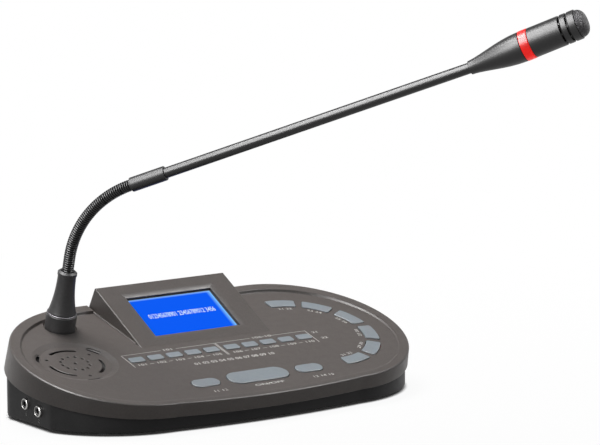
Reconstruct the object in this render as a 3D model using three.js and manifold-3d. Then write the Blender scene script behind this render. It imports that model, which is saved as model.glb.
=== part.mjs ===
// A desk console for an interpreter: a sloping key deck over a base tray, with a display hood, a
// loudspeaker, two headset jacks and a gooseneck microphone. Millimetres, +Z up. The origin is the
// middle of the tray's underside, +X points to the console's right and +Y to its back.
// Most pieces are drawn in the deck's own frame: x to the right, y up the slope, z out of the deck.

import * as THREE from "three";
import { mergeVertices } from "three/addons/utils/BufferGeometryUtils.js";
import Module from "manifold-3d";

const wasm = await Module();
wasm.setup();

// Fits
const CLEARANCE = 0.3; // between pieces that touch
const OVERRUN = 4; // how far a cutter runs past the faces that it cuts
const WELD = 1e-4; // vertices closer than this are one

// Case screws
const SCREW_HEAD_RADIUS = 2.8;
const SCREW_HEAD_DEPTH = 1.2;
const SCREW_SHANK_RADIUS = 1.2;
const SCREW_LENGTH = 10;

// Top shell
const DECK_TILT_DEG = 15.6;
const DECK_FRONT_HEIGHT = 16.15; // deck's front edge above the tray's underside
const CONSOLE_BOW = 5; // how far the front edge bulges
const SHELL_WALL = 2;
const SKIRT_FLARE = 0.8; // how far the skirt spreads down to its lip
const LIP_DEPTH = 15; // lip below the deck, at the middle
const LIP_TILT_DEG = 4.5; // the lip falls away from the deck towards the back
const EDGE_CHAMFER = 0.8;
const RIM_WIDTH = 7.4;
const RIM_SHIFT = { x: -0.9, y: -2 }; // the rim is widest at the back
const RIM_RISE = 2; // rim above the deck at the back edge; it runs out at the front
const POST_BORE_RADIUS = SCREW_SHANK_RADIUS + CLEARANCE;
const POST_WALL = 2.5;
const POST_RADIUS = POST_BORE_RADIUS + POST_WALL;
const POST_BORE_DEPTH = 9;
const END_STEPS = 24;
const BOW_STEPS = 8;

// Base tray
const TRAY_INSET = 1.7; // tray wall inside the lip
const TRAY_WALL = 3.6;
const TRAY_FLOOR = 2;
const TONGUE_RISE = 2; // tongue of the tray inside the skirt
const FACE_INSET = 6.1; // flat ends of the tray, inside the deck's; the left one carries the jacks

// Feet
const FOOT_RADIUS = 6;
const FOOT_RECESS = 0.8;
const FOOT_PROUD = 1.7;

// Keys
const KEY_GAP = 0.4; // cap to deck, all round
const KEY_PROUD = 1;
const KEY_BEVEL = 0.4;
const KEY_FLANGE = 1.1;
const KEY_FLANGE_THICKNESS = 1.2;
const KEY_TRAVEL = 0.8;
const CHANNEL_KEY = { width: 10.8, height: 6.6, corner: 1.4 };
const CHANNEL_SPACE = 3.8; // between two channel keys
const CHANNEL_GROUP_GAP = 1.6; // added between the two groups
const CHANNEL_COUNT = 10;
const TALK_KEY = { width: 48.2, height: 16.4 };
const OVAL_KEY = { width: 22.4, height: 11.2 };
const OVAL_SPACE = 5.5; // talk key to oval key
const ARC_SHIFT = { x: 0.1, y: -2.7 }; // arc's centre from the round end's centre
const ARC_EDGE_SPACE = 22; // arc of keys inside the console's edge
const ARC_KEY_DEPTH = 9.8;
const ARC_CORNER = 1.5;
const ARC_COUNT = 6;
const ARC_PITCH_DEG = 31.2;
const ARC_SPAN_DEG = 25;

// Display hood and display
const WINDOW_WIDTH = 71.8;
const WINDOW_HEIGHT = 47;
const WINDOW_SIDE = 15.2; // hood's face on each side of the window
const WINDOW_FROM_FRONT = 10; // along the hood's face
const WINDOW_FROM_TOP = 7.91;
const HOOD_TILT_DEG = 13.18; // hood's face to the deck
const HOOD_BACK_INSET = 0.9; // foot of the hood's back wall inside the console's back edge
const HOOD_WALL = 2.2;
const HOOD_NOSE = 0.4; // thickness of the hood's front edge
const WELL_DEPTH = 6;
const WELL_WALL = 1.6;
const DISPLAY_BORDER = 1; // black frame that shows inside the window
const DISPLAY_FRAME_LEDGE = 3; // black frame under the hood round the window
const DISPLAY_FRAME_DEPTH = 6;
const DISPLAY_FRAME_FACE = 0.8;
const DISPLAY_FRAME_WALL = 1.2;
const PANEL_THICKNESS = 1.8;
const OPENING_SIDE_LEDGE = 4; // deck under the hood's side walls
const OPENING_FRONT_LEDGE = 3;
const OPENING_BACK_LEDGE = 8;

// Loudspeaker
const DISH_RADIUS = 28.4;
const DISH_DEPTH = 1.3;
const DISH_SLOPE = 2.4; // run of the dish's edge
const DISH_FLOOR = 1.6;
const DISH_PAD_MARGIN = 2;
const DISH_SHIFT_Y = 1.2; // dish's middle behind the round end's centre
const SOUND_HOLE_RADIUS = 1.1;
const SOUND_RING_COUNT = 12;
const SOUND_SLOT_WIDTH = 1.7;
const SOUND_SLOT_SPAN_DEG = 66;
const SOUND_OUTER_SPAN_DEG = 24;
const SOUND_RING_SHARE = 0.365; // radius of the ring of holes, in that of the dish's floor
const SOUND_SLOT_SHARE = 0.715;
const SOUND_OUTER_SHARE = 0.946;
const DRIVER_RADIUS = DISH_RADIUS - DISH_SLOPE;
const DRIVER_FLANGE = 3;
const DRIVER_DEPTH = 12;
const DRIVER_SHEET = 1.2;
const CONE_THROAT_RADIUS = 7;
const CONE_LIFT = 4; // cone's bottom above the frame's
const CONE_DEPTH = DRIVER_DEPTH - CONE_LIFT;
const MAGNET_RADIUS = 14;
const MAGNET_DEPTH = 7;

// Headset jacks, on the left end face, from the back one to the front one
const JACK_NAMES = ["headphone", "headset_microphone"];
const JACK_SPACING = 16;
const JACK_SHIFT_Y = 0.3; // their middle behind the round end's centre
const JACK_HEIGHT = 11.1;
const JACK_RISE = 2.2; // of the back jack over the front one
const JACK_BORE_RADIUS = 1.8;
const JACK_BARREL_WALL = 0.9;
const JACK_BARREL_RADIUS = JACK_BORE_RADIUS + JACK_BARREL_WALL;
const JACK_NUT_WALL = 0.7;
const JACK_NUT_THICKNESS = 1.4;
const JACK_BODY = { length: 11, width: 9, height: 8 };

// Bus socket, in the tray's back wall
const BUS_END_SPACE = 10.9; // its axis from the end of the back's straight
const BUS_HEIGHT = 18;
const BUS_BORE_RADIUS = 6.6;
const BUS_BORE_DEPTH = 9;
const BUS_WALL = 1.8;
const BUS_BODY_RADIUS = BUS_BORE_RADIUS + BUS_WALL;
const BUS_FLANGE = 2.6;
const BUS_FLANGE_THICKNESS = 1.6;
const BUS_LENGTH = 12;

// Gooseneck
const ARM_HEADING_DEG = -44; // where the arm points over the deck, from +X
const NECK_STRAIGHT = 49.9; // the neck rises square to the deck as far as this
const NECK_BEND_RADIUS = 69.3;
const NECK_BEND_DEG = 58.5;
const NECK_SEGMENTS = 6;
const NECK_GAP = 0.7;
const NECK_SETBACK = 0.25; // the segments' ends are coned back by this much
const NECK_CREST_RADIUS = 3.9;
const NECK_RIB_DEPTH = 0.6;
const NECK_VALLEY_RADIUS = NECK_CREST_RADIUS - NECK_RIB_DEPTH;
const NECK_BORE_RADIUS = 1.6;
const NECK_RIBS = 8; // on each segment
const NECK_SIDES = 8;
const RIBS_PER_BORE_RING = 5;

// Neck mount: collar, ring, boot and nut, on an axis square to the deck
const NECK_INSET = 20.367; // its axis inside the console's edge
const NECK_ANGLE_DEG = 72.12; // about the left end's centre, from straight left
const COLLAR_RADIUS = 10.2;
const COLLAR_HEIGHT = 10;
const COLLAR_GAP = 0.9;
const COLLAR_RECESS = 1;
const COLLAR_SHOULDER = 2.2;
const COLLAR_SHANK_RADIUS = COLLAR_RADIUS - COLLAR_SHOULDER;
const COLLAR_SHANK_DEPTH = 9;
const COLLAR_BORE_RADIUS = 3.2;
const BOOT_RING_THICKNESS = 0.8;
const BOOT_RING_STEP = 0.4; // ring inside the collar's outside
const BOOT_STEP = 0.9; // boot's foot inside the collar's outside
const BOOT_RADIUS = COLLAR_RADIUS - BOOT_STEP;
const BOOT_MOUTH_GAP = 0.5;
const BOOT_MOUTH_RADIUS = NECK_CREST_RADIUS + BOOT_MOUTH_GAP;
const BOOT_WALL = 1.7;
const BOOT_WAIST_RADIUS = BOOT_MOUTH_RADIUS + BOOT_WALL;
const BOOT_TOP = 41; // top of the boot above the deck
const BOOT_CAP_HEIGHT = 3.2;
const BOOT_HOLLOW = 2.2; // above 1 the boot's flanks are hollow
const NUT_WALL = 4; // shank to the nut's corners
const NUT_THICKNESS = 4;

// Ferrule and stem
const STEM_LENGTH = 212.6; // between the ferrule and the microphone head
const STEM_RADIUS = 3.35;
const STEM_WALL = 0.95;
const STEM_BORE_RADIUS = STEM_RADIUS - STEM_WALL;
const STEM_IN_HEAD = 8;
const FERRULE_LENGTH = 25.2;
const FERRULE_CHAMFER = 0.5;
const FERRULE_WALL = 1.2;
const FERRULE_RADIUS = STEM_RADIUS + CLEARANCE + FERRULE_WALL;
const FERRULE_FLOOR = 4;

// Microphone head, along its own axis
const HEAD_LIFT_DEG = 3; // the head sits a little above the stem's line
const HEAD_NECK_LIP = 0.3;
const HEAD_CONE_LENGTH = 35.5;
const HEAD_SWELL = 1.3; // above 1 the cone starts slowly
const HEAD_RADIUS = 9.7;
const HEAD_WALL = 1.4;
const LIGHT_RING_LENGTH = 6.8;
const LIGHT_RING_PROUD = 0.2;
const LIGHT_RING_WALL = 2.2;
const BARREL_LENGTH = 32;
const BARREL_TAPER = 0.5;
const BARREL_FRONT_RADIUS = HEAD_RADIUS - BARREL_TAPER;
const GROOVE_DEPTH = 0.6; // grooves that the vents open into
const GROOVE_WIDTH = 1.6;
const VENT_ROWS = 2;
const VENT_COUNT = 8;
const VENT_WIDTH = 3.4;
const VENT_LENGTH = 1.2;
const VENT_PITCH = 4.9;
const VENT_FROM_FRONT = 5.4;
const GRILLE_SKIRT = 0.5;
const GRILLE_SHEET = 0.8;
const GRILLE_EDGE = 4.3; // rounding of the grille's front
const CAPSULE_LENGTH = 9;
const CAPSULE_FROM_FRONT = 1;

// Spaces between what stands on the deck, from its front edge to its back edge
const TALK_MARGIN = 18.1;
const ROW_SPACE = 31.3; // talk key to channel keys
const HOOD_SPACE = 12.1; // channel keys to hood
const HOOD_TOP_INSET = 2.9; // hood's top edge inside the back edge

// And from its left end to the channel keys
const DISH_MARGIN = 11.3;
const DISH_SPACE = 5.7;

// Boards under the keys
const MAT_THICKNESS = 1;
const BOARD_THICKNESS = 1.6;
const BOARD_FRONT_MARGIN = 14.3; // inside the deck's front edge
const BOARD_BACK_MARGIN = 23.3;
const BOARD_SPEAKER_SPACE = 2;
const BOARD_HOOD_SPACE = 5.8;
const BOARD_INSET = 11;
const BOARD_POST_RADIUS = 2.2;
const BOARD_POST_INSET = 3; // left post inside the board's left edge
const BOARD_POST_SPACE = 12; // channel keys to the right post
const BOARD_POST_HOLE_GAP = 0.6;

const COLOURS = {
  deck: { color: 0x68645f, roughness: 0.55, metalness: 0 },
  tray: { color: 0x2b2a2a, roughness: 0.5, metalness: 0 },
  key: { color: 0x949a9e, roughness: 0.45, metalness: 0 },
  rubber: { color: 0x191919, roughness: 0.9, metalness: 0 },
  steel: { color: 0x9c9c9c, roughness: 0.4, metalness: 0.9 },
  chrome: { color: 0xd8d8d8, roughness: 0.15, metalness: 1 },
  board: { color: 0x1f5a34, roughness: 0.6, metalness: 0 },
  display: { color: 0x0a5aff, roughness: 0.2, metalness: 0 },
  black: { color: 0x101012, roughness: 0.5, metalness: 0 },
  neck: { color: 0x2a2a2c, roughness: 0.4, metalness: 0.6 },
  head: { color: 0x39393b, roughness: 0.35, metalness: 0.5 },
  light: { color: 0xe8211a, roughness: 0.25, metalness: 0 },
  paper: { color: 0x24211f, roughness: 0.9, metalness: 0 },
};

const rad = THREE.MathUtils.degToRad;
const DECK_TILT = rad(DECK_TILT_DEG);
const NECK_BEND = rad(NECK_BEND_DEG);
const NECK_START = BOOT_TOP - BOOT_CAP_HEIGHT / 3;
const KEY_FLANGE_TOP = -SHELL_WALL - CLEARANCE;
const MAT_TOP = KEY_FLANGE_TOP - KEY_FLANGE_THICKNESS - KEY_TRAVEL - CLEARANCE;
const BOARD_TOP = MAT_TOP - MAT_THICKNESS - CLEARANCE;

// Layout of the deck, which is as large as what stands on it needs
const HOOD_WIDTH = WINDOW_WIDTH + 2 * WINDOW_SIDE;
const HOOD_FACE_TILT = rad(HOOD_TILT_DEG);
const HOOD_FACE_LENGTH = WINDOW_FROM_FRONT + WINDOW_HEIGHT + WINDOW_FROM_TOP;
const HOOD_RISE = HOOD_FACE_LENGTH * Math.sin(HOOD_FACE_TILT);
const HOOD_RUN = HOOD_FACE_LENGTH * Math.cos(HOOD_FACE_TILT);
const CHANNEL_PITCH = CHANNEL_KEY.width + CHANNEL_SPACE;
const CHANNEL_ROW_LENGTH =
  (CHANNEL_COUNT - 1) * CHANNEL_PITCH + CHANNEL_GROUP_GAP + CHANNEL_KEY.width;
const CONSOLE_WIDTH = CHANNEL_ROW_LENGTH + 2 * (DISH_SPACE + 2 * DISH_RADIUS + DISH_MARGIN);
const KEY_ROWS_DEPTH = TALK_MARGIN + TALK_KEY.height + ROW_SPACE + CHANNEL_KEY.height;
const CONSOLE_DEPTH = KEY_ROWS_DEPTH + HOOD_SPACE + HOOD_RUN + HOOD_TOP_INSET;
const CONSOLE_END_RADIUS = (CONSOLE_DEPTH - CONSOLE_BOW) / 2;
const END_X = CONSOLE_WIDTH / 2 - CONSOLE_END_RADIUS;
const END_Y = CONSOLE_BOW / 2;
const FRONT_Y = -CONSOLE_DEPTH / 2;
const BACK_Y = CONSOLE_DEPTH / 2;
const DECK_HEIGHT = DECK_FRONT_HEIGHT - FRONT_Y * Math.sin(DECK_TILT);
const FACE_X = CONSOLE_WIDTH / 2 - FACE_INSET;
const OVAL_ROW_Y = FRONT_Y + TALK_MARGIN + TALK_KEY.height / 2;
const OVAL_PITCH = TALK_KEY.width / 2 + OVAL_SPACE + OVAL_KEY.width / 2;
const CHANNEL_ROW_Y = FRONT_Y + KEY_ROWS_DEPTH - CHANNEL_KEY.height / 2;
const HOOD_FRONT_Y = FRONT_Y + KEY_ROWS_DEPTH + HOOD_SPACE;
const HOOD_TOP_Y = BACK_Y - HOOD_TOP_INSET;
const ARC_CENTRE = { x: END_X + ARC_SHIFT.x, y: END_Y + ARC_SHIFT.y };
const ARC_OUTER_RADIUS = CONSOLE_END_RADIUS - ARC_EDGE_SPACE;
const ARC_INNER_RADIUS = ARC_OUTER_RADIUS - ARC_KEY_DEPTH;
const SPEAKER = {
  x: -CONSOLE_WIDTH / 2 + DISH_MARGIN + DISH_RADIUS,
  y: END_Y + DISH_SHIFT_Y,
};

// A place near a round end, given by the side that the end is on, the distance inside the
// console's edge, and the angle about the end's centre from straight out.
function endPlace(side, inset, deg) {
  const radius = CONSOLE_END_RADIUS - inset;
  return {
    x: side * (END_X + radius * Math.cos(rad(deg))),
    y: END_Y + radius * Math.sin(rad(deg)),
  };
}

const SCREW_PLACES = [
  endPlace(-1, 15, -47.4),
  endPlace(1, 15, -47.4),
  endPlace(-1, 9.4, 36.3),
  endPlace(1, 9.4, 36.3),
];
const FOOT_PLACES = [
  endPlace(-1, 22, -72.7),
  endPlace(1, 22, -72.7),
  endPlace(-1, 17.2, 74.2),
  endPlace(1, 17.2, 74.2),
];
const NECK = endPlace(-1, NECK_INSET, NECK_ANGLE_DEG);
const JACK_PLACES = JACK_NAMES.map((name, i) => ({
  name,
  y: END_Y + JACK_SHIFT_Y + (0.5 - i) * JACK_SPACING,
  z: JACK_HEIGHT + (0.5 - i) * JACK_RISE,
}));
const BUS_PLACE = { x: END_X - BUS_END_SPACE, z: BUS_HEIGHT };
const BOARD_LEFT_X = SPEAKER.x + DRIVER_RADIUS + BOARD_SPEAKER_SPACE;
const BOARD_POST_PLACES = [
  { x: BOARD_LEFT_X + BOARD_POST_INSET, y: CHANNEL_ROW_Y - CHANNEL_KEY.height / 2 - ROW_SPACE / 2 },
  { x: 0, y: CHANNEL_ROW_Y - CHANNEL_KEY.height / 2 - ROW_SPACE / 2 },
  { x: CHANNEL_ROW_LENGTH / 2 + BOARD_POST_SPACE, y: CHANNEL_ROW_Y },
];
const WINDOW_Y = WINDOW_FROM_FRONT + WINDOW_HEIGHT / 2;

const deckMatrix = new THREE.Matrix4().makeRotationX(DECK_TILT).setPosition(0, 0, DECK_HEIGHT);
const deckInverse = deckMatrix.clone().invert();

// Geometry and solids

function geometryOf(points, index) {
  return new THREE.BufferGeometry().setFromPoints(points).setIndex(index);
}

function solidOf(geometry) {
  const bare = geometry.clone();
  bare.deleteAttribute("normal");
  bare.deleteAttribute("uv");
  const merged = mergeVertices(bare, WELD);
  const corners = merged.index.array;
  const kept = [];
  for (let i = 0; i < corners.length; i += 3) {
    const [a, b, c] = corners.slice(i, i + 3);
    if (a !== b && b !== c && c !== a) kept.push(a, b, c);
  }
  const vertProperties = new Float32Array(merged.attributes.position.array);
  return new wasm.Manifold(
    new wasm.Mesh({ numProp: 3, vertProperties, triVerts: new Uint32Array(kept) }),
  );
}

function meshOf(name, solid, look) {
  const { vertProperties, triVerts } = solid.getMesh();
  const geometry = new THREE.BufferGeometry();
  geometry.setAttribute("position", new THREE.BufferAttribute(vertProperties, 3));
  geometry.setIndex(new THREE.BufferAttribute(triVerts, 1));
  geometry.computeVertexNormals();
  const mesh = new THREE.Mesh(geometry, new THREE.MeshStandardMaterial(look));
  mesh.name = name;
  return mesh;
}

const cut = (body, tools) => tools.reduce((left, tool) => left.subtract(tool), body);
const join = (body, more) => more.reduce((whole, piece) => whole.add(piece), body);

// A flat outline raised from one height to another.
function plate(outline, low, high) {
  const shape = outline.isShape ? outline : new THREE.Shape(outline);
  const geometry = new THREE.ExtrudeGeometry(shape, { depth: high - low, bevelEnabled: false });
  return solidOf(geometry.translate(0, 0, low));
}

function block(x0, x1, y0, y1, z0, z1) {
  const geometry = new THREE.BoxGeometry(x1 - x0, y1 - y0, z1 - z0);
  return solidOf(geometry.translate((x0 + x1) / 2, (y0 + y1) / 2, (z0 + z1) / 2));
}

// A body turned about Z from a profile of [radius, height] pairs, which runs up its outside.
function turnedGeometry(profile, segments = 24) {
  const points = profile.map(([radius, height]) => new THREE.Vector2(radius, height));
  return new THREE.LatheGeometry(points, segments).rotateX(Math.PI / 2);
}

const turned = (profile, segments) => solidOf(turnedGeometry(profile, segments));

const disc = (radius, low, high, segments) =>
  turned([[0, low], [radius, low], [radius, high], [0, high]], segments);

const sleeve = (outer, inner, low, high, segments) =>
  turned([[inner, low], [outer, low], [outer, high], [inner, high], [inner, low]], segments);

function discAt(place, radius, low, high, segments) {
  const profile = [[0, low], [radius, low], [radius, high], [0, high]];
  return solidOf(turnedGeometry(profile, segments).translate(place.x, place.y, 0));
}

// A body through rings of points, lowest first, each ring anticlockwise seen from above.
function loft(rings) {
  const count = rings[0].length;
  const index = [];
  for (let r = 0; r + 1 < rings.length; r++) {
    for (let i = 0; i < count; i++) {
      const a = r * count + i;
      const b = r * count + ((i + 1) % count);
      index.push(a, b, b + count, a, b + count, a + count);
    }
  }
  const flat = rings[0].map((p) => new THREE.Vector2(p.x, p.y));
  const last = (rings.length - 1) * count;
  for (const [a, b, c] of THREE.ShapeUtils.triangulateShape(flat, [])) {
    index.push(a, c, b);
    index.push(last + a, last + b, last + c);
  }
  return solidOf(geometryOf(rings.flat(), index));
}

function arcPoints(centre, radius, fromDeg, toDeg, steps) {
  const clockwise = toDeg < fromDeg;
  const curve = new THREE.EllipseCurve(
    centre.x,
    centre.y,
    radius,
    radius,
    rad(fromDeg),
    rad(toDeg),
    clockwise,
  );
  return curve.getPoints(steps);
}

// Console outline

// Two round ends, a straight back and a bowed front, drawn in by an inset.
function consoleOutline(inset) {
  const radius = CONSOLE_END_RADIUS - inset;
  const bowRadius = (END_X ** 2 + CONSOLE_BOW ** 2) / (2 * CONSOLE_BOW);
  const bowHalfDeg = THREE.MathUtils.radToDeg(Math.asin(END_X / bowRadius));
  const bowCentre = { x: 0, y: END_Y - radius - CONSOLE_BOW + bowRadius };
  const bow = arcPoints(bowCentre, bowRadius, -90 - bowHalfDeg, -90 + bowHalfDeg, BOW_STEPS);
  const right = arcPoints({ x: END_X, y: END_Y }, radius, -90, 90, END_STEPS);
  const left = arcPoints({ x: -END_X, y: END_Y }, radius, 90, 270, END_STEPS);
  return [...bow.slice(1, -1), ...right, ...left];
}

const ringAt = (outline, heightOf) =>
  outline.map((p) => new THREE.Vector3(p.x, p.y, heightOf(p.y)));

const lipHeight = (y) => -LIP_DEPTH - y * Math.tan(rad(LIP_TILT_DEG));
const rimHeight = (y) => (RIM_RISE * (y - FRONT_Y)) / (BACK_Y - FRONT_Y);

// The lip's outline on the desk's plane, drawn in by an inset, at heights measured from the lip.
function trayRing(inset, levelOf) {
  return consoleOutline(inset - SKIRT_FLARE).map((p) => {
    const lip = new THREE.Vector3(p.x, p.y, lipHeight(p.y)).applyMatrix4(deckMatrix);
    return lip.setZ(levelOf(lip.z));
  });
}

// Key outlines

function roundedRectangle(centre, width, height, corner, steps) {
  const x = width / 2 - corner;
  const y = height / 2 - corner;
  const at = (sx, sy) => ({ x: centre.x + sx * x, y: centre.y + sy * y });
  const points = [
    ...arcPoints(at(1, -1), corner, -90, 0, steps),
    ...arcPoints(at(1, 1), corner, 0, 90, steps),
    ...arcPoints(at(-1, 1), corner, 90, 180, steps),
    ...arcPoints(at(-1, -1), corner, 180, 270, steps),
  ];
  return points.filter((p, i) => p.distanceTo(points.at(i - 1)) > WELD);
}

// A sector of a ring with its corners cut across, grown by a margin all round.
function ringSector(centre, inner, outer, middleDeg, spanDeg, corner, steps, grow = 0) {
  const degAt = (length, radius) => THREE.MathUtils.radToDeg(length / radius);
  const low = inner - grow;
  const high = outer + grow;
  const from = middleDeg - spanDeg / 2 - degAt(grow, outer);
  const to = middleDeg + spanDeg / 2 + degAt(grow, outer);
  const outerTrim = degAt(corner, high);
  const innerTrim = degAt(corner, low);
  const polar = (radius, deg) =>
    new THREE.Vector2(centre.x + radius * Math.cos(rad(deg)), centre.y + radius * Math.sin(rad(deg)));
  return [
    ...arcPoints(centre, high, from + outerTrim, to - outerTrim, steps),
    polar(high - corner, to),
    polar(low + corner, to),
    ...arcPoints(centre, low, to - innerTrim, from + innerTrim, steps),
    polar(low + corner, from),
    polar(high - corner, from),
  ];
}

// A key's outline as a function of how far it is grown; its ends are round if it names no corner.
function growRectangle(centre, key, steps) {
  const corner = key.corner ?? key.height / 2;
  return (grow) =>
    roundedRectangle(centre, key.width + 2 * grow, key.height + 2 * grow, corner + grow, steps);
}

// Every key's name and its outline grown by a margin.
function listKeys() {
  const keys = [];
  for (let i = 0; i < CHANNEL_COUNT; i++) {
    const fromMiddle = i - (CHANNEL_COUNT - 1) / 2;
    const x = fromMiddle * CHANNEL_PITCH + Math.sign(fromMiddle) * (CHANNEL_GROUP_GAP / 2);
    const centre = { x, y: CHANNEL_ROW_Y };
    keys.push({ name: `channel_key_${i + 1}`, outline: growRectangle(centre, CHANNEL_KEY, 3) });
  }
  const talk = { x: 0, y: OVAL_ROW_Y };
  keys.push({ name: "talk_key", outline: growRectangle(talk, TALK_KEY, 6) });
  for (const [name, side] of [["left_oval_key", -1], ["right_oval_key", 1]]) {
    const centre = { x: side * OVAL_PITCH, y: OVAL_ROW_Y };
    keys.push({ name, outline: growRectangle(centre, OVAL_KEY, 5) });
  }
  for (let i = 0; i < ARC_COUNT; i++) {
    const middleDeg = ((ARC_COUNT - 1) / 2 - i) * ARC_PITCH_DEG;
    const outline = (grow) =>
      ringSector(
        ARC_CENTRE,
        ARC_INNER_RADIUS,
        ARC_OUTER_RADIUS,
        middleDeg,
        ARC_SPAN_DEG,
        ARC_CORNER,
        4,
        grow,
      );
    keys.push({ name: `arc_key_${i + 1}`, outline });
  }
  return keys;
}

const KEYS = listKeys();

function keySolid(key) {
  return loft([
    ringAt(key.outline(KEY_FLANGE), () => KEY_FLANGE_TOP - KEY_FLANGE_THICKNESS),
    ringAt(key.outline(KEY_FLANGE), () => KEY_FLANGE_TOP),
    ringAt(key.outline(0), () => KEY_FLANGE_TOP),
    ringAt(key.outline(0), () => KEY_PROUD - KEY_BEVEL),
    ringAt(key.outline(-KEY_BEVEL), () => KEY_PROUD),
  ]);
}

// Hood frame: y runs up the hood's sloping face from its front edge, z stands out of the face

const hoodMatrix = new THREE.Matrix4()
  .makeRotationX(HOOD_FACE_TILT)
  .setPosition(0, HOOD_FRONT_Y, HOOD_NOSE);

function hoodBlock(width, height, low, high) {
  const geometry = new THREE.BoxGeometry(width, height, high - low);
  return solidOf(geometry.translate(0, WINDOW_Y, (low + high) / 2).applyMatrix4(hoodMatrix));
}

// A side profile of [y, z] pairs in the deck's frame, swept across the hood.
function hoodWedge(profile, width) {
  const outline = new THREE.Shape(profile.map(([y, z]) => new THREE.Vector2(y, z)));
  const geometry = new THREE.ExtrudeGeometry(outline, { depth: width, bevelEnabled: false });
  geometry.translate(0, 0, -width / 2);
  return solidOf(geometry.rotateX(Math.PI / 2).rotateZ(Math.PI / 2));
}

function displayHood() {
  const back = BACK_Y - HOOD_BACK_INSET;
  const low = CLEARANCE;
  const outer = hoodWedge(
    [
      [HOOD_FRONT_Y, low],
      [back, low],
      [HOOD_TOP_Y, HOOD_RISE + HOOD_NOSE],
      [HOOD_FRONT_Y, HOOD_NOSE + low],
    ],
    HOOD_WIDTH,
  );
  const slope = Math.tan(HOOD_FACE_TILT);
  const innerFront = HOOD_FRONT_Y + (HOOD_WALL + low) / slope;
  const innerTop = HOOD_TOP_Y - HOOD_WALL;
  const inner = hoodWedge(
    [
      [innerFront, low - OVERRUN],
      [back - HOOD_WALL, low - OVERRUN],
      [innerTop, HOOD_RISE - 2 * HOOD_WALL],
      [innerFront, low],
    ],
    HOOD_WIDTH - 2 * HOOD_WALL,
  );
  const well = hoodBlock(
    WINDOW_WIDTH + 2 * WELL_WALL,
    WINDOW_HEIGHT + 2 * WELL_WALL,
    -WELL_DEPTH,
    -HOOD_WALL / 2,
  );
  const window = hoodBlock(WINDOW_WIDTH, WINDOW_HEIGHT, -WELL_DEPTH - OVERRUN, OVERRUN);
  return cut(outer, [inner]).add(well).subtract(window);
}

// Display pieces, under the hood's well
const FRAME_TOP = -WELL_DEPTH - CLEARANCE;
const DISPLAY_FRAME_WIDTH = WINDOW_WIDTH + 2 * DISPLAY_FRAME_LEDGE;
const DISPLAY_FRAME_HEIGHT = WINDOW_HEIGHT + 2 * DISPLAY_FRAME_LEDGE;

function displayFrame() {
  const low = FRAME_TOP - DISPLAY_FRAME_DEPTH;
  const box = hoodBlock(DISPLAY_FRAME_WIDTH, DISPLAY_FRAME_HEIGHT, low, FRAME_TOP);
  const cavity = hoodBlock(
    DISPLAY_FRAME_WIDTH - 2 * DISPLAY_FRAME_WALL,
    DISPLAY_FRAME_HEIGHT - 2 * DISPLAY_FRAME_WALL,
    low - OVERRUN,
    FRAME_TOP - DISPLAY_FRAME_FACE,
  );
  const view = hoodBlock(
    WINDOW_WIDTH - 2 * DISPLAY_BORDER,
    WINDOW_HEIGHT - 2 * DISPLAY_BORDER,
    low,
    FRAME_TOP + OVERRUN,
  );
  return cut(box, [cavity, view]);
}

const PANEL_TOP = FRAME_TOP - DISPLAY_FRAME_FACE - CLEARANCE;
const INSIDE_FRAME = DISPLAY_FRAME_WALL + CLEARANCE;

function displaySheet(low, high) {
  const width = DISPLAY_FRAME_WIDTH - 2 * INSIDE_FRAME;
  const height = DISPLAY_FRAME_HEIGHT - 2 * INSIDE_FRAME;
  return hoodBlock(width, height, low, high);
}

const displayPanel = () => displaySheet(PANEL_TOP - PANEL_THICKNESS, PANEL_TOP);

function displayBoard() {
  const top = PANEL_TOP - PANEL_THICKNESS - CLEARANCE;
  return displaySheet(top - BOARD_THICKNESS, top);
}

// Top shell

function soundOpenings() {
  const low = -DISH_DEPTH - DISH_FLOOR - OVERRUN;
  const high = OVERRUN;
  const openings = [discAt(SPEAKER, SOUND_HOLE_RADIUS, low, high, 8)];
  const floorRadius = DISH_RADIUS - DISH_SLOPE;
  const hole = (share, deg) => {
    const radius = floorRadius * share;
    const x = SPEAKER.x + radius * Math.cos(rad(deg));
    const y = SPEAKER.y + radius * Math.sin(rad(deg));
    openings.push(discAt({ x, y }, SOUND_HOLE_RADIUS, low, high, 8));
  };
  const slot = (share, middleDeg, spanDeg) => {
    const radius = floorRadius * share;
    const inner = radius - SOUND_SLOT_WIDTH / 2;
    const outer = radius + SOUND_SLOT_WIDTH / 2;
    const corner = SOUND_SLOT_WIDTH / 4;
    const steps = Math.ceil(spanDeg / 12);
    const outline = ringSector(SPEAKER, inner, outer, middleDeg, spanDeg, corner, steps);
    openings.push(plate(outline, low, high));
  };
  for (let i = 0; i < SOUND_RING_COUNT; i++) {
    hole(SOUND_RING_SHARE, (i * 360) / SOUND_RING_COUNT);
  }
  for (const deg of [30, 150, 270]) {
    hole(SOUND_SLOT_SHARE, deg);
    slot(SOUND_OUTER_SHARE, deg, SOUND_OUTER_SPAN_DEG);
    slot(SOUND_SLOT_SHARE, deg + 60, SOUND_SLOT_SPAN_DEG);
  }
  return openings;
}

function speakerDish() {
  const profile = [
    [0, -DISH_DEPTH],
    [DISH_RADIUS - DISH_SLOPE, -DISH_DEPTH],
    [DISH_RADIUS, 0],
    [DISH_RADIUS, OVERRUN],
    [0, OVERRUN],
  ];
  return solidOf(turnedGeometry(profile, 40).translate(SPEAKER.x, SPEAKER.y, 0));
}

// A post for a case screw: it stands square to the desk and reaches down to the tray's floor.
function screwPost(place) {
  const foot = TRAY_FLOOR + CLEARANCE;
  const top = new THREE.Vector3(place.x, place.y / Math.cos(DECK_TILT), -SHELL_WALL / 2);
  const height = top.applyMatrix4(deckMatrix).z;
  const post = turnedGeometry([[0, foot], [POST_RADIUS, foot], [POST_RADIUS, height], [0, height]], 12);
  return solidOf(post.translate(place.x, place.y, 0).applyMatrix4(deckInverse));
}

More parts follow.
